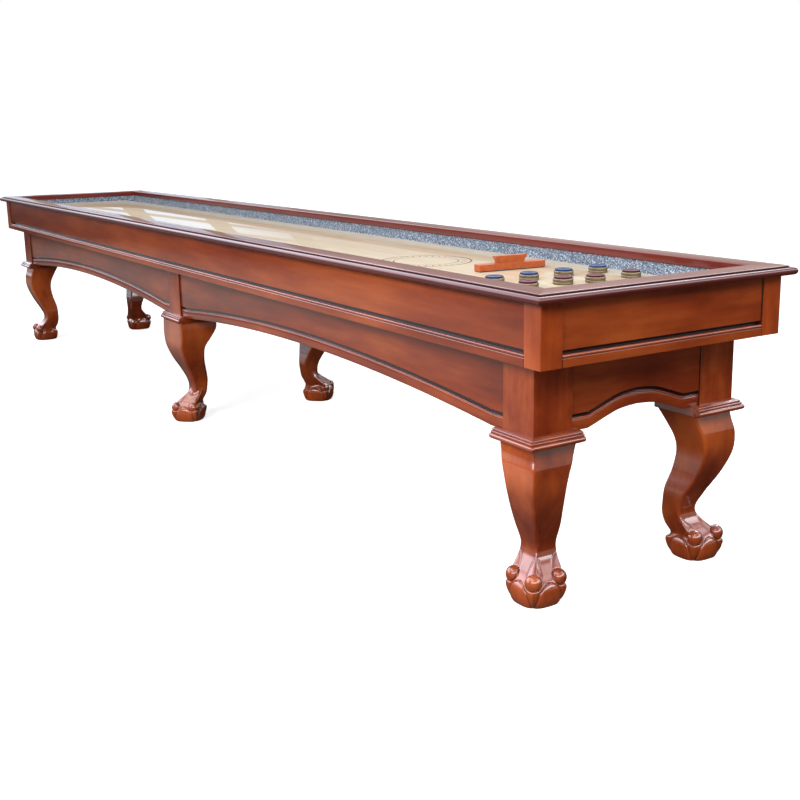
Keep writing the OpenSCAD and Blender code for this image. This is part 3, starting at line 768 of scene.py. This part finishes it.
def smooth_curve(points, steps=6):
    """Catmull-Rom curve through the points, as in the CAD outlines."""
    p = np.array(points, float)
    out = []
    for i in range(len(p) - 1):
        a, b, c, d = p[max(i - 1, 0)], p[i], p[i + 1], p[min(i + 2, len(p) - 1)]
        for k in range(steps):
            t = k / steps
            out.append((2 * b + (c - a) * t + (2 * a - 5 * b + 4 * c - d) * t * t
                        + (3 * b - a - 3 * c + d) * t ** 3) / 2)
    return np.array(out + [p[-1]])


def arch_heights(half, span, rise, count):
    """(distance, height) pairs of a flat shoulder, a circular arch and a flat shoulder, mm."""
    radius = (span * span + rise * rise) / (2 * rise)
    middle = [(d, math.sqrt(radius * radius - d * d) - (radius - rise))
              for d in np.linspace(-span, span, count)]
    return [(-half, 0.0), (-span - 1.5, 0.0)] + middle + [(span + 1.5, 0.0), (half, 0.0)]


def ogee_heights(half, span, rise):
    """(distance, height) pairs of a flat shoulder, an ogee arch and a flat shoulder, mm."""
    side = smooth_curve([(-span, 0), (-0.86 * span, 0.19 * rise), (-0.61 * span, 0.56 * rise),
                         (-0.35 * span, 0.87 * rise), (0, rise)])
    middle = [tuple(p) for p in side] + [(-p[0], p[1]) for p in side[::-1][1:]]
    return [(-half, 0.0)] + middle + [(half, 0.0)]


def apron_section():
    """(height above the bottom line, depth behind the face) in mm and painted shade: lip, bead and groove,
    with the quirk below the bead and the groove darkened.
    """
    lower = [(0.0, 22.0), (0.0, 1.4), (0.4, 0.4), (1.4, 0.0), (27.2, 0.0), (28.0, 0.35), (28.6, 1.1)]
    bead = [(30.9 + 2.1 * math.sin(a), 1.9 - 2.3 * math.cos(a)) for a in np.linspace(-1.25, 1.35, 7)]
    groove = [(33.2, 2.6), (33.8, 6.0), (40.4, 6.0), (41.6, 1.0), (42.2, 0.3), (43.2, 0.0)]
    shade_and_glaze = [0.0] * 5 + [0.4, 0.9, 0.35] + [0.0] * 5 + [0.6, 1.0, 1.0, 1.0, 0.85, 0.3, 0.0]
    return lower + bead + groove, shade_and_glaze


def make_apron(node, line, base, face, axis, sign, centre, wood):
    """Board with a bead and groove that follow its shaped bottom line."""
    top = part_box(node)[1].z
    section, shade_and_glaze = apron_section()
    rings, values = [], []
    for along, rise in line:
        across = [(face - depth * MM, base + (rise + h) * MM) for h, depth in section]
        across += [(face, top - 0.0004), (face - 0.0006, top), (face - 0.022, top)]
        # painted shade along the top edge, under the cabinet
        values += shade_and_glaze + [0.25, 0.3, 0.0]
        u = centre + along * MM
        rings.append([(u, sign * v, z) if axis == "y" else (sign * v, u, z) for v, z in across])
    piece = loft(f"{node}_board", rings, wood, attributes={"shade_and_glaze": values}, sharp=40)
    place_piece(piece, ROOT, node)


def make_aprons(wood_x, wood_y):
    """Arched boards along the sides and ogee ones across the ends."""
    for end in ENDS:
        for side in SIDES:
            node = f"apron_{side}_{end}"
            low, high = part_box(node)
            half = (high.x - low.x) / 2 / MM
            face = max(abs(low.y), abs(high.y))
            line = arch_heights(half, half - 58, 49, 81)
            make_apron(node, line, low.z, face, "y", SIGN[side], (low.x + high.x) / 2, wood_x)
        node = f"apron_{end}"
        low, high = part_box(node)
        half = high.y / MM
        face = max(abs(low.x), abs(high.x))
        make_apron(node, ogee_heights(half, half - 54, 39), low.z, face, "x", SIGN[end], 0.0, wood_y)


# ---- carved legs

def smooth_min(a, b, k):
    """Union of two solids, blended over about k mm."""
    h = np.clip(0.5 + 0.5 * (b - a) / k, 0, 1)
    return b * (1 - h) + a * h - k * h * (1 - h)


def creased(a, b, r):
    """Union of two solids with a fine tooled line where they meet."""
    return np.maximum(np.minimum(a, b), r - np.hypot(a, b))


def rounded_box(x, y, cx, cy, hx, hy, r):
    """In-plane distance to a rectangle with rounded corners."""
    qx = np.abs(x - cx) - hx + r
    qy = np.abs(y - cy) - hy + r
    return np.hypot(np.maximum(qx, 0), np.maximum(qy, 0)) + np.minimum(np.maximum(qx, qy), 0) - r


def curve_at(z, knots):
    """Value at height z of a smooth curve through (height, value) knots."""
    line = smooth_curve(knots, 8)
    order = np.argsort(line[:, 0])
    return np.interp(z, line[order, 0], line[order, 1])


def claw_foot(x, y, z, cx, cy, turn, toe=(56.5, 66, 20.5)):
    """Paw on a ball, as (ball, knuckles): four lobes face the sides turned by turn degrees, toes between.

    toe is a knuckle's distance from the middle, its height and its radius."""
    ca, sa = math.cos(math.radians(turn)), math.sin(math.radians(turn))
    u, v = np.abs((x - cx) * ca + (y - cy) * sa), np.abs(-(x - cx) * sa + (y - cy) * ca)
    far, near = np.maximum(u, v), np.minimum(u, v)
    reach, aside = (far + near) / math.sqrt(2), (far - near) / math.sqrt(2)
    lift = np.where(z > 34, (z - 34) / 48.0, (34 - z) / 52.0)
    plan = ((far / 60) ** 3 + (near / 60) ** 3) ** (1 / 3)
    ball = ((plan ** 2.4 + np.abs(lift) ** 2.4) ** (1 / 2.4) - 1) * 52.0
    claw_half = 17 * np.clip(z / 50, 0, 1) ** 0.9
    roof = np.clip(8.0 * np.clip(z / 40, 0, 1) - 0.47 * aside, 0, None) * np.clip((56 - z) / 8, 0, 1)
    arc_out = 60 * np.arctan2(near, far)
    edge = -smooth_min(-(arc_out - (45.5 - claw_half)), -(z - 62 + 0.018 * arc_out ** 2), 9)
    lobe = 2.4 * (1 - np.exp(np.minimum(edge, 0) / 9))
    line = 1.9 * np.exp(-(edge / 1.5) ** 2) * np.clip((z - 1) / 6, 0, 1)
    ball = ball - roof - lobe + line
    out, high, r = toe
    knuckle = np.sqrt(((reach - out) / r) ** 2 + (aside / (r + 1.5)) ** 2 + ((z - high) / (r + 1.5)) ** 2)
    return ball, (knuckle - 1) * r


def tendon(x, y, z, start, toe, out_angle):
    """Height in mm to add to the paw: a wedge widening from the ankle to a toe, between two tooled lines."""
    down = np.clip((120 - z) / 54, 0, 1)
    px, py = start[0] + down * (toe[0] - start[0]), start[1] + down * (toe[1] - start[1])
    ca, sa = math.cos(math.radians(out_angle)), math.sin(math.radians(out_angle))
    outward = (x - px) * ca + (y - py) * sa
    aside = np.abs(-(x - px) * sa + (y - py) * ca)
    here = np.clip(down / 0.12, 0, 1) * np.clip((0.86 - down) / 0.1, 0, 1) * np.clip((outward + 26) / 8, 0, 1)
    half = 1.5 + 20 * down
    ridge = 2.6 * np.exp(-(aside / (half * 0.75)) ** 2)
    line = 1.7 * np.exp(-((aside - half) / 1.6) ** 2)
    return here * (ridge - line)


def corner_leg_field(x, y, z):
    """Corner leg in mm, outward along +x +y from the block's centre."""
    lo = curve_at(z, [(0, -34), (25, -40), (50, -44), (65, -48), (75, -52), (85, -56), (100, -60), (118, -63),
                      (142, -64), (190, -61), (243, -48), (296, -41), (336, -46), (381, -63), (415, -78)])
    hi = curve_at(z, [(0, 36), (25, 42), (50, 46), (65, 46), (75, 41), (85, 31), (100, 17), (118, 6),
                      (142, 4), (184, 21), (245, 50), (304, 69), (355, 71), (388, 64), (415, 58.5)])
    r = curve_at(z, [(0, 14), (60, 12), (90, 6), (120, 6), (160, 9), (230, 9), (300, 8), (380, 7), (415, 6)])
    shaft = rounded_box(x, y, (lo + hi) / 2, (lo + hi) / 2, (hi - lo) / 2, (hi - lo) / 2, r)
    ball, knuckles = claw_foot(x, y, z, 1.5, 1.5, 0)
    knuckles = np.maximum(knuckles, -24 - x - y)
    body = smooth_min(shaft, ball, 7)
    toe = 1.5 + 56.5 / math.sqrt(2)
    body = body - tendon(x, y, z, (6, 6), (toe, toe), 45)
    body = body - tendon(x, y, z, (4, -60), (toe, 3 - toe), -45)
    body = body - tendon(x, y, z, (-60, 4), (3 - toe, toe), 135)
    whole = creased(body, knuckles, 1.6)
    return np.maximum(whole, np.maximum(-z, z - LEG_TALL))


def middle_leg_field(x, y, z):
    """Middle leg in mm, outward along +y from the block's centre."""
    wide = curve_at(z, [(0, 20), (70, 27), (110, 31), (135, 32), (170, 33), (214, 50), (255, 69), (306, 83),
                        (355, 97), (415, 94)])
    lo = curve_at(z, [(0, 5), (60, -14), (100, -44), (135, -52), (170, -54), (214, -42), (255, -30),
                      (306, -29), (345, -50), (385, -76), (415, -78)])
    hi = curve_at(z, [(0, 45), (60, 38), (85, 30), (110, 17), (140, 12), (170, 19), (214, 38), (255, 59),
                      (306, 77), (355, 79), (415, 78)])
    r = curve_at(z, [(0, 12), (110, 15), (160, 13), (230, 11), (300, 9), (380, 8), (415, 8)])
    shaft = rounded_box(x, y, 0, (lo + hi) / 2, wide, (hi - lo) / 2, r)
    half = curve_at(z, [(0, 36), (25, 42), (50, 46), (65, 47), (80, 43), (95, 37), (110, 31),
                        (130, 22), (150, 8)])
    cy = curve_at(z, [(0, 25), (65, 24), (85, 12), (105, -6), (130, -18), (150, -20)])
    u, v = (x + (y - cy)) / math.sqrt(2), (x - (y - cy)) / math.sqrt(2)
    skirt = np.maximum(rounded_box(u, v, 0, 0, half, half, np.minimum(half, 11)), z - 148)
    ball, knuckles = claw_foot(x, y, z, 0, 25, 45, (53.5, 57, 20))
    knuckles = np.maximum(knuckles, 6 - y)
    body = smooth_min(smooth_min(shaft, skirt, 12), ball, 6)
    body = body - tendon(x, y, z, (0, 12), (0, 78.5), 90)
    whole = creased(body, knuckles, 1.6)
    return np.maximum(whole, np.maximum(-z, z - LEG_TALL))


def surface_net(field, low, high, step):
    """Quad surface where the field is zero: one point in each grid cell it crosses, drawn onto it."""
    axes = [np.arange(a - 2 * step, b + 2.5 * step, step) for a, b in zip(low, high)]
    axes[2] = axes[2] + 0.37 * step
    grid = field(*np.meshgrid(*axes, indexing="ij"))
    shape = tuple(n - 1 for n in grid.shape)
    total = np.zeros(shape + (3,))
    count = np.zeros(shape)
    quads = []
    index = np.arange(np.prod(shape)).reshape(shape)
    for axis in range(3):
        a = np.take(grid, range(grid.shape[axis] - 1), axis)
        b = np.take(grid, range(1, grid.shape[axis]), axis)
        cross = (a < 0) != (b < 0)
        t = np.where(cross, a / np.where(cross, a - b, 1), 0)
        others = [k for k in range(3) if k != axis]
        where = np.argwhere(cross)
        place = where.astype(float)
        place[:, axis] += t[cross]
        for du, dv in ((0, 0), (0, 1), (1, 0), (1, 1)):
            cell = where.copy()
            cell[:, others] -= (du, dv)
            ok = np.all((cell >= 0) & (cell < shape), axis=1)
            c = tuple(cell[ok].T)
            np.add.at(total, c, place[ok])
            np.add.at(count, c, 1)
        inner = (where[:, others[0]] > 0) & (where[:, others[1]] > 0)
        inner &= (where[:, others[0]] < shape[others[0]]) & (where[:, others[1]] < shape[others[1]])
        corners = []
        for du, dv in ((1, 1), (0, 1), (0, 0), (1, 0)):
            cell = where[inner]
            cell[:, others] -= (du, dv)
            corners.append(index[tuple(cell.T)])
        quad = np.stack(corners, 1)
        outward = (a[cross][inner] < 0) ^ (axis == 1)
        quad[~outward] = quad[~outward][:, ::-1]
        quads.append(quad)
    quads = np.vstack(quads)
    used, compact = np.unique(quads, return_inverse=True)
    cells = np.stack(np.unravel_index(used, shape), 1)
    mean = total[tuple(cells.T)] / count[tuple(cells.T)][:, None]
    origin = np.array([axis[0] for axis in axes])
    points = origin + mean * step
    for _ in range(3):
        d = field(*points.T)
        slope = np.stack([field(*(points + e).T) - field(*(points - e).T) for e in np.eye(3) * 0.5], 1)
        length = np.maximum(np.sum(slope ** 2, 1), 0.25)
        points -= np.clip(d / length, -0.6, 0.6)[:, None] * slope
    points[:, 2] = np.clip(points[:, 2], 0, high[2])
    return points, compact.reshape(-1, 4)


def crease_amount(points, quads):
    """How far each point lies in a hollow, from the mean of its neighbours: 0 open, 1 deep crease."""
    edges = np.vstack([quads[:, [i, (i + 1) % 4]] for i in range(4)])
    total = np.zeros_like(points)
    count = np.zeros(len(points))
    for a, b in ((0, 1), (1, 0)):
        np.add.at(total, edges[:, a], points[edges[:, b]])
        np.add.at(count, edges[:, a], 1)
    offset = total / np.maximum(count, 1)[:, None] - points
    p = points[quads]
    normal = np.cross(p[:, 2] - p[:, 0], p[:, 3] - p[:, 1])
    vertex_normal = np.zeros_like(points)
    for i in range(4):
        np.add.at(vertex_normal, quads[:, i], normal)
    vertex_normal /= np.maximum(np.linalg.norm(vertex_normal, axis=1), 1e-9)[:, None]
    hollow = np.sum(offset * vertex_normal, 1)
    for _ in range(2):
        blurred = np.zeros(len(points))
        np.add.at(blurred, edges[:, 0], hollow[edges[:, 1]])
        np.add.at(blurred, edges[:, 1], hollow[edges[:, 0]])
        hollow = 0.5 * hollow + 0.5 * blurred / np.maximum(count, 1)
    return hollow


def make_legs(wood):
    """Two carvings, mirrored to the six places; painted shade in the creases, painted highlights on knee and
    foot, and pale ridges, partly painted highlight and partly rubbed wear.
    """
    step = 2.2
    fields = {"corner": (corner_leg_field, (-84, -84, 0), (80, 80, LEG_TALL)),
              "middle": (middle_leg_field, (-100, -90, 0), (100, 108, LEG_TALL))}
    carved = {key: surface_net(field, low, high, step) for key, (field, low, high) in fields.items()}
    hollow = {key: crease_amount(*mesh) for key, mesh in carved.items()}
    for name, cx, cy, sx, sy in block_centres():
        kind = "corner" if sx else "middle"
        points, quads = carved[kind]
        mirror_x = sx or 1
        verts = points * (mirror_x, sy, 1) * MM + (cx, cy, 0)
        faces = quads if mirror_x * sy > 0 else quads[:, ::-1]
        # painted shade in the creases
        crease = np.clip(hollow[kind] / (0.10 * step), 0, 1) ** 1.2
        z = points[:, 2]
        # painted highlight on the knee and, lower down, on the foot
        knee = np.maximum(0.9 * np.exp(-((z - 345) / 62) ** 2), 0.6 * np.exp(-(z / 62) ** 4))
        ridge = np.maximum(np.clip(-hollow[kind] / (0.30 * step) - 0.25, 0, 1) * 0.6, knee)
        looks = {"shade_and_glaze": crease * 0.8, "highlight_and_wear": ridge}
        piece = mesh_object(f"leg_{name}_carving", verts, faces, wood, 60, looks)
        place_piece(piece, ROOT, f"leg_{name}")


# ---- playfield, carpet, inner parts

def make_playfield(maple):
    low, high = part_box("playfield")
    corners = [(low.y, low.z), (high.y, low.z), (high.y, high.z), (low.y, high.z)]
    ring = fillet(corners, [0.001, 0.001, 0.003, 0.003])
    rings = [[(x, y, z) for y, z in ring] for x in np.linspace(low.x, high.x, 7)]
    piece = bevel(loft("playfield_slab", rings, maple), 0.002, 3, 50)
    place_piece(piece, ROOT, "playfield")


def make_carpet(cloth):
    """Lining with a slightly uneven pile: gutter floor and walls as one skin round the four sides."""
    low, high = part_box("gutter_carpet")
    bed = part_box("playfield")[1]
    thick, under, bend, step = 0.004, 0.014, 0.006, 0.012
    floor_z = low.z + thick
    rng = np.random.default_rng(7)
    width = high.y - (bed.y - under)
    end_width = high.x - (bed.x - under)
    foot = width - thick - bend
    section = [(0.0, low.z), (0.0, floor_z)]
    section += [(u, floor_z) for u in np.linspace(0.01, foot - 0.002, 8)]
    section += [(foot + bend * math.sin(a), floor_z + bend * (1 - math.cos(a)))
                for a in np.linspace(0.3, math.pi / 2, 4)]
    section += [(width - thick, z) for z in np.linspace(floor_z + 2 * bend, high.z, 12)]
    section += [(width, high.z), (width, low.z)]
    on_floor = 12
    path = [(high.x, -high.y), (high.x, high.y), (-high.x, high.y), (-high.x, -high.y)]
    rings = []
    for i in range(4):
        a, b = np.array(path[i]), np.array(path[(i + 1) % 4])
        length = np.linalg.norm(b - a)
        count = int(length / step)
        along = (b - a) / length
        inward = np.array((-along[1], along[0]))
        for k in range(count):
            ring = []
            for n, (u, z) in enumerate(section):
                inset, side_inset = width - u, width - u
                scaled = end_width * (1 - u / width)
                if i % 2:
                    side_inset = scaled
                elif u < foot:
                    inset = scaled
                reach = min(max(k * length / count, side_inset), length - side_inset)
                fuzz = 0.0005 * rng.standard_normal() if 1 < n < len(section) - 3 else 0.0
                x, y = a + along * reach + inward * (inset + (fuzz if n > on_floor else 0))
                ring.append((x, y, z + (fuzz if n <= on_floor else 0)))
            rings.append(ring)
    piece = loft("gutter_carpet_pile", rings, cloth, loop=True, sharp=70)
    place_piece(piece, ROOT, "gutter_carpet")


def dress(node, material):
    """A CAD node that stays gets a better material."""
    mesh = NODES[node].data
    mesh.materials.clear()
    mesh.materials.append(material)


# ---- pucks and sweep

def lathe(name, rows, centre, base, segments, material, sharp):
    """Turned piece from rows of (radius mm, height mm, knurl mm, highlight_and_wear, shade_and_glaze); equal
    end rows close it; alternate knurl points get extra painted shade.
    """
    closed = rows[0] == rows[-1]
    rows = rows[:-1] if closed else rows
    verts, dark, pale = [], [], []
    for r, z, knurl, highlight_and_wear, shade_and_glaze in rows:
        for k in range(segments):
            a = 2 * math.pi * k / segments
            rr = (r + knurl * (k % 2 - 0.5)) * MM
            verts.append((centre[0] + rr * math.cos(a), centre[1] + rr * math.sin(a), base + z * MM))
            # painted shade: alternate knurl points darker
            dark.append(shade_and_glaze + (0.25 * (k % 2) if knurl else 0.0))
            pale.append(highlight_and_wear)
    faces = ring_faces(segments, len(rows) if closed else len(rows) - 1, len(rows))
    return mesh_object(name, verts, faces, material, sharp, {"shade_and_glaze": dark, "highlight_and_wear": pale})


def puck_body_profile():
    """(radius, height, knurl, painted shade) of a puck body, closed on itself; the shade darkens the waist
    groove and the recesses.
    """
    r = 27.0
    return [(10.0, 3.0, 0, 0.6), (r - 6.0, 3.0, 0, 0.6), (r - 5.0, 0.4, 0, 0.3), (r - 4.4, 0.0, 0, 0),
            (r - 2.8, 0.0, 0, 0), (r - 1.2, 0.6, 0, 0), (r - 0.35, 1.7, 0, 0), (r - 0.2, 2.3, 0.35, 0),
            (r - 0.2, 5.6, 0.35, 0), (r - 0.5, 6.2, 0, 0.1), (r - 1.4, 6.9, 0, 0.8), (r - 1.5, 7.5, 0, 1.0),
            (r - 1.4, 8.1, 0, 0.8), (r - 0.5, 8.8, 0, 0.1), (r - 0.2, 9.4, 0.35, 0), (r - 0.2, 13.0, 0.35, 0),
            (r - 0.4, 13.8, 0, 0), (r - 0.9, 14.8, 0, 0), (r - 1.5, 15.4, 0, 0), (r - 2.0, 15.5, 0, 0.1),
            (r - 2.4, 15.2, 0, 0.9), (r - 2.5, 12.0, 0, 1.0), (10.0, 12.0, 0, 1.0), (10.0, 3.0, 0, 0.6)]


def cap_profile():
    """(radius, height, pale, painted shade) of a cap: rim, two raised rings and a shallow dish; pale on the
    ring crowns, painted shade in the steps.
    """
    return [(0.0, 6.0, 0, 0), (9.7, 6.0, 0, 0), (9.7, 12.0, 0, 0), (24.2, 12.0, 0, 0.8), (24.2, 17.6, 0, 0.5),
            (23.9, 19.2, 0, 0.1), (22.9, 20.5, 0.12, 0), (21.6, 21.0, 0.25, 0), (20.0, 20.9, 0.12, 0),
            (19.2, 20.2, 0, 0.6), (18.4, 19.9, 0, 0.4), (16.4, 20.0, 0, 0), (15.8, 20.3, 0.35, 0),
            (14.9, 20.3, 0.35, 0), (14.4, 20.0, 0, 0), (10.4, 19.9, 0, 0), (9.9, 20.2, 0.3, 0),
            (9.2, 20.2, 0.3, 0), (8.8, 19.9, 0, 0), (3.0, 19.8, 0, 0), (0.0, 19.8, 0, 0)]


def make_pucks(brass, caps):
    """Knurled bodies with their caps let in; base is the playfield's top."""
    body = [(r, z, knurl, 0.0, shade_and_glaze) for r, z, knurl, shade_and_glaze in puck_body_profile()]
    cap = [(r, z, 0.0, pale, shade_and_glaze) for r, z, pale, shade_and_glaze in cap_profile()]
    for colour in ("blue", "red"):
        for i in range(1, 5):
            node = f"puck_{colour}_{i}"
            low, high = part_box(node)
            centre = ((low.x + high.x) / 2, (low.y + high.y) / 2)
            rides = f"{colour}_puck_{i}"
            piece = lathe(f"{node}_body", body, centre, low.z, 144, brass, 50)
            place_piece(piece, rides, node)
            lid = lathe(f"{node}_cap", cap, centre, low.z, 72, caps[colour], 35)
            place_piece(lid, rides, f"cap_{colour}_{i}")


def sweep_outline(ease):
    """Plan of the bar in mm: square at one end and round at the other."""
    half_t, half_l, corner = 16.5 - ease, 114.0 - ease, 1.2
    square_end = [(-half_t, corner - half_l), (corner - half_t, -half_l),
                  (half_t - corner, -half_l), (half_t, corner - half_l)]
    return square_end + arc((0, half_l - half_t), half_t, 0, 180, 20)


def make_sweep(paint, felt):
    """Bar on a felt sole, with a dovetail-shaped grip; the whole sweep lies a little askew."""
    bar_z, bar_top = (corner.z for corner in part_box("sweep_bar"))
    handle_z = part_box("sweep_handle")[0].z
    felt_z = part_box("sweep_felt")[0].z
    centre, skew = (1.754, 0.024), math.radians(-5)

    def at(u, v, z):
        x, y = u * MM, v * MM
        return (centre[0] + x * math.cos(skew) - y * math.sin(skew),
                centre[1] + x * math.sin(skew) + y * math.cos(skew), z)

    def slab(name, ease, bottom, top, material):
        return loft(name, [[at(u, v, z) for u, v in sweep_outline(ease)] for z in (bottom, top)], material)

    bar = slab("sweep_bar_block", 0, bar_z, bar_top, paint)
    place_piece(bevel(bar, 0.0018, 3), "sweep", "sweep_bar")
    pad = slab("sweep_felt_pad", 1.5, felt_z, bar_z, felt)
    place_piece(bevel(pad, 0.0008), "sweep", "sweep_felt")
    half_t, foot, top, waist, tall, offset = 10.0, 43.5, 54.0, 45.5, 21.0, -5.0
    outline = [(-foot, 0), (foot, 0), (waist, 8), (top, tall), (-top, tall), (-waist, 8)]
    side = fillet(outline, [0, 0, 3, 1.5, 1.5, 3], 3)
    rings = [[at(u, offset + v, handle_z + h * MM) for v, h in side] for u in (-half_t, half_t)]
    grip = loft("sweep_handle_grip", rings, paint)
    place_piece(bevel(grip, 0.0016, 3), "sweep", "sweep_handle")


# ---- build everything

make_camera()
make_world()
make_stage()
area_light("top_soft", (0.3, -0.6, 4.2), (0.2, 0, 0.6), (6.0, 3.0), 170, (1.0, 0.99, 0.97))
area_light("front_soft", (2.9, -4.5, 2.8), (1.5, 0, 0.45), (3.4, 1.6), 350, (0.99, 0.97, 0.98))
area_light("end_soft", (4.2, -0.1, 2.5), (2.2, 0, 0.6), (1.6, 1.1), 52, (1.0, 0.95, 0.90))

# dark, middle and light tone of each stain
RAIL_TONES = ((0.085, 0.012, 0.009), (0.128, 0.021, 0.015), (0.170, 0.033, 0.022))
CABINET_TONES = ((0.090, 0.010, 0.002), (0.200, 0.032, 0.006), (0.330, 0.072, 0.014))
POST_TONES = ((0.130, 0.016, 0.003), (0.270, 0.046, 0.008), (0.400, 0.090, 0.018))
LEG_TONES = ((0.070, 0.007, 0.002), (0.195, 0.028, 0.005), (0.370, 0.078, 0.014))
# painted_highlight: the pale colour of the painted highlight line on the rails' flat edge
RAIL_FINISH = {"figure": 0.2, "coat": 0.75, "rough": 0.5, "sheen": 0.0, "relief": 0.03,
               "painted_highlight": (0.78, 0.72, 0.74)}
rail_x, rail_y = (stained_wood(f"rail_wood_{axis}", axis, RAIL_TONES, **RAIL_FINISH) for axis in "xy")
cabinet_x, cabinet_y = (stained_wood(f"cabinet_wood_{axis}", axis, CABINET_TONES) for axis in "xy")
post_z = stained_wood("post_wood_z", "z", POST_TONES)
leg_x, leg_y, leg_z = (stained_wood(f"leg_wood_{axis}", axis, LEG_TONES) for axis in "xyz")
collar_wood = stained_wood("collar_wood", "x", LEG_TONES, coat=1.0, coat_ior=1.75)
carved_wood = stained_wood("carved_wood", "z", LEG_TONES, coat=1.0, rough=0.36, coat_ior=1.75)
maple = maple_top("maple_playfield", (1.42, -0.05), (0.145, 0.137), 0.0040)
cloth = carpet_cloth("gutter_pile")
steel = metal("plated_steel", (0.36, 0.36, 0.38), (0.60, 0.60, 0.62), 0.32,
              (40, 300, 300), (0.25, 0.22, 0.18), 0.2)
brass = metal("antique_brass", (0.16, 0.125, 0.07), (0.34, 0.275, 0.17), 0.42,
              (500, 500, 30), (0.09, 0.07, 0.045), 0.4)
caps = {"blue": moulded("cap_blue_plastic", (0.010, 0.028, 0.080), (0.020, 0.050, 0.135), 0.60, 0.05, 0.0),
        "red": moulded("cap_red_plastic", (0.045, 0.008, 0.014), (0.085, 0.016, 0.028), 0.60, 0.05, 0.0)}
orange = moulded("sweep_orange_paint", (0.31, 0.060, 0.014), (0.37, 0.092, 0.028), 0.40, 0.2, 0.25)
board = bare_board("inner_board")
felt = pressed_felt("sweep_felt_cloth")

make_rails(rail_x, rail_y)
make_posts(post_z)
make_walls(cabinet_x, cabinet_y)
make_blocks(leg_z)
make_collars(collar_wood)
make_aprons(leg_x, leg_y)
make_legs(carved_wood)
make_playfield(maple)
make_carpet(cloth)
make_pucks(brass, caps)
make_sweep(orange, felt)
for name in ("cabinet_floor", "bearers"):
    dress(name, board)
for name in ("adjuster_brackets", "adjuster_rod_near", "adjuster_rod_middle", "adjuster_rod_far",
             "leg_bolts", "block_screws"):
    dress(name, steel)

bpy.context.scene.view_settings.view_transform = "Standard"
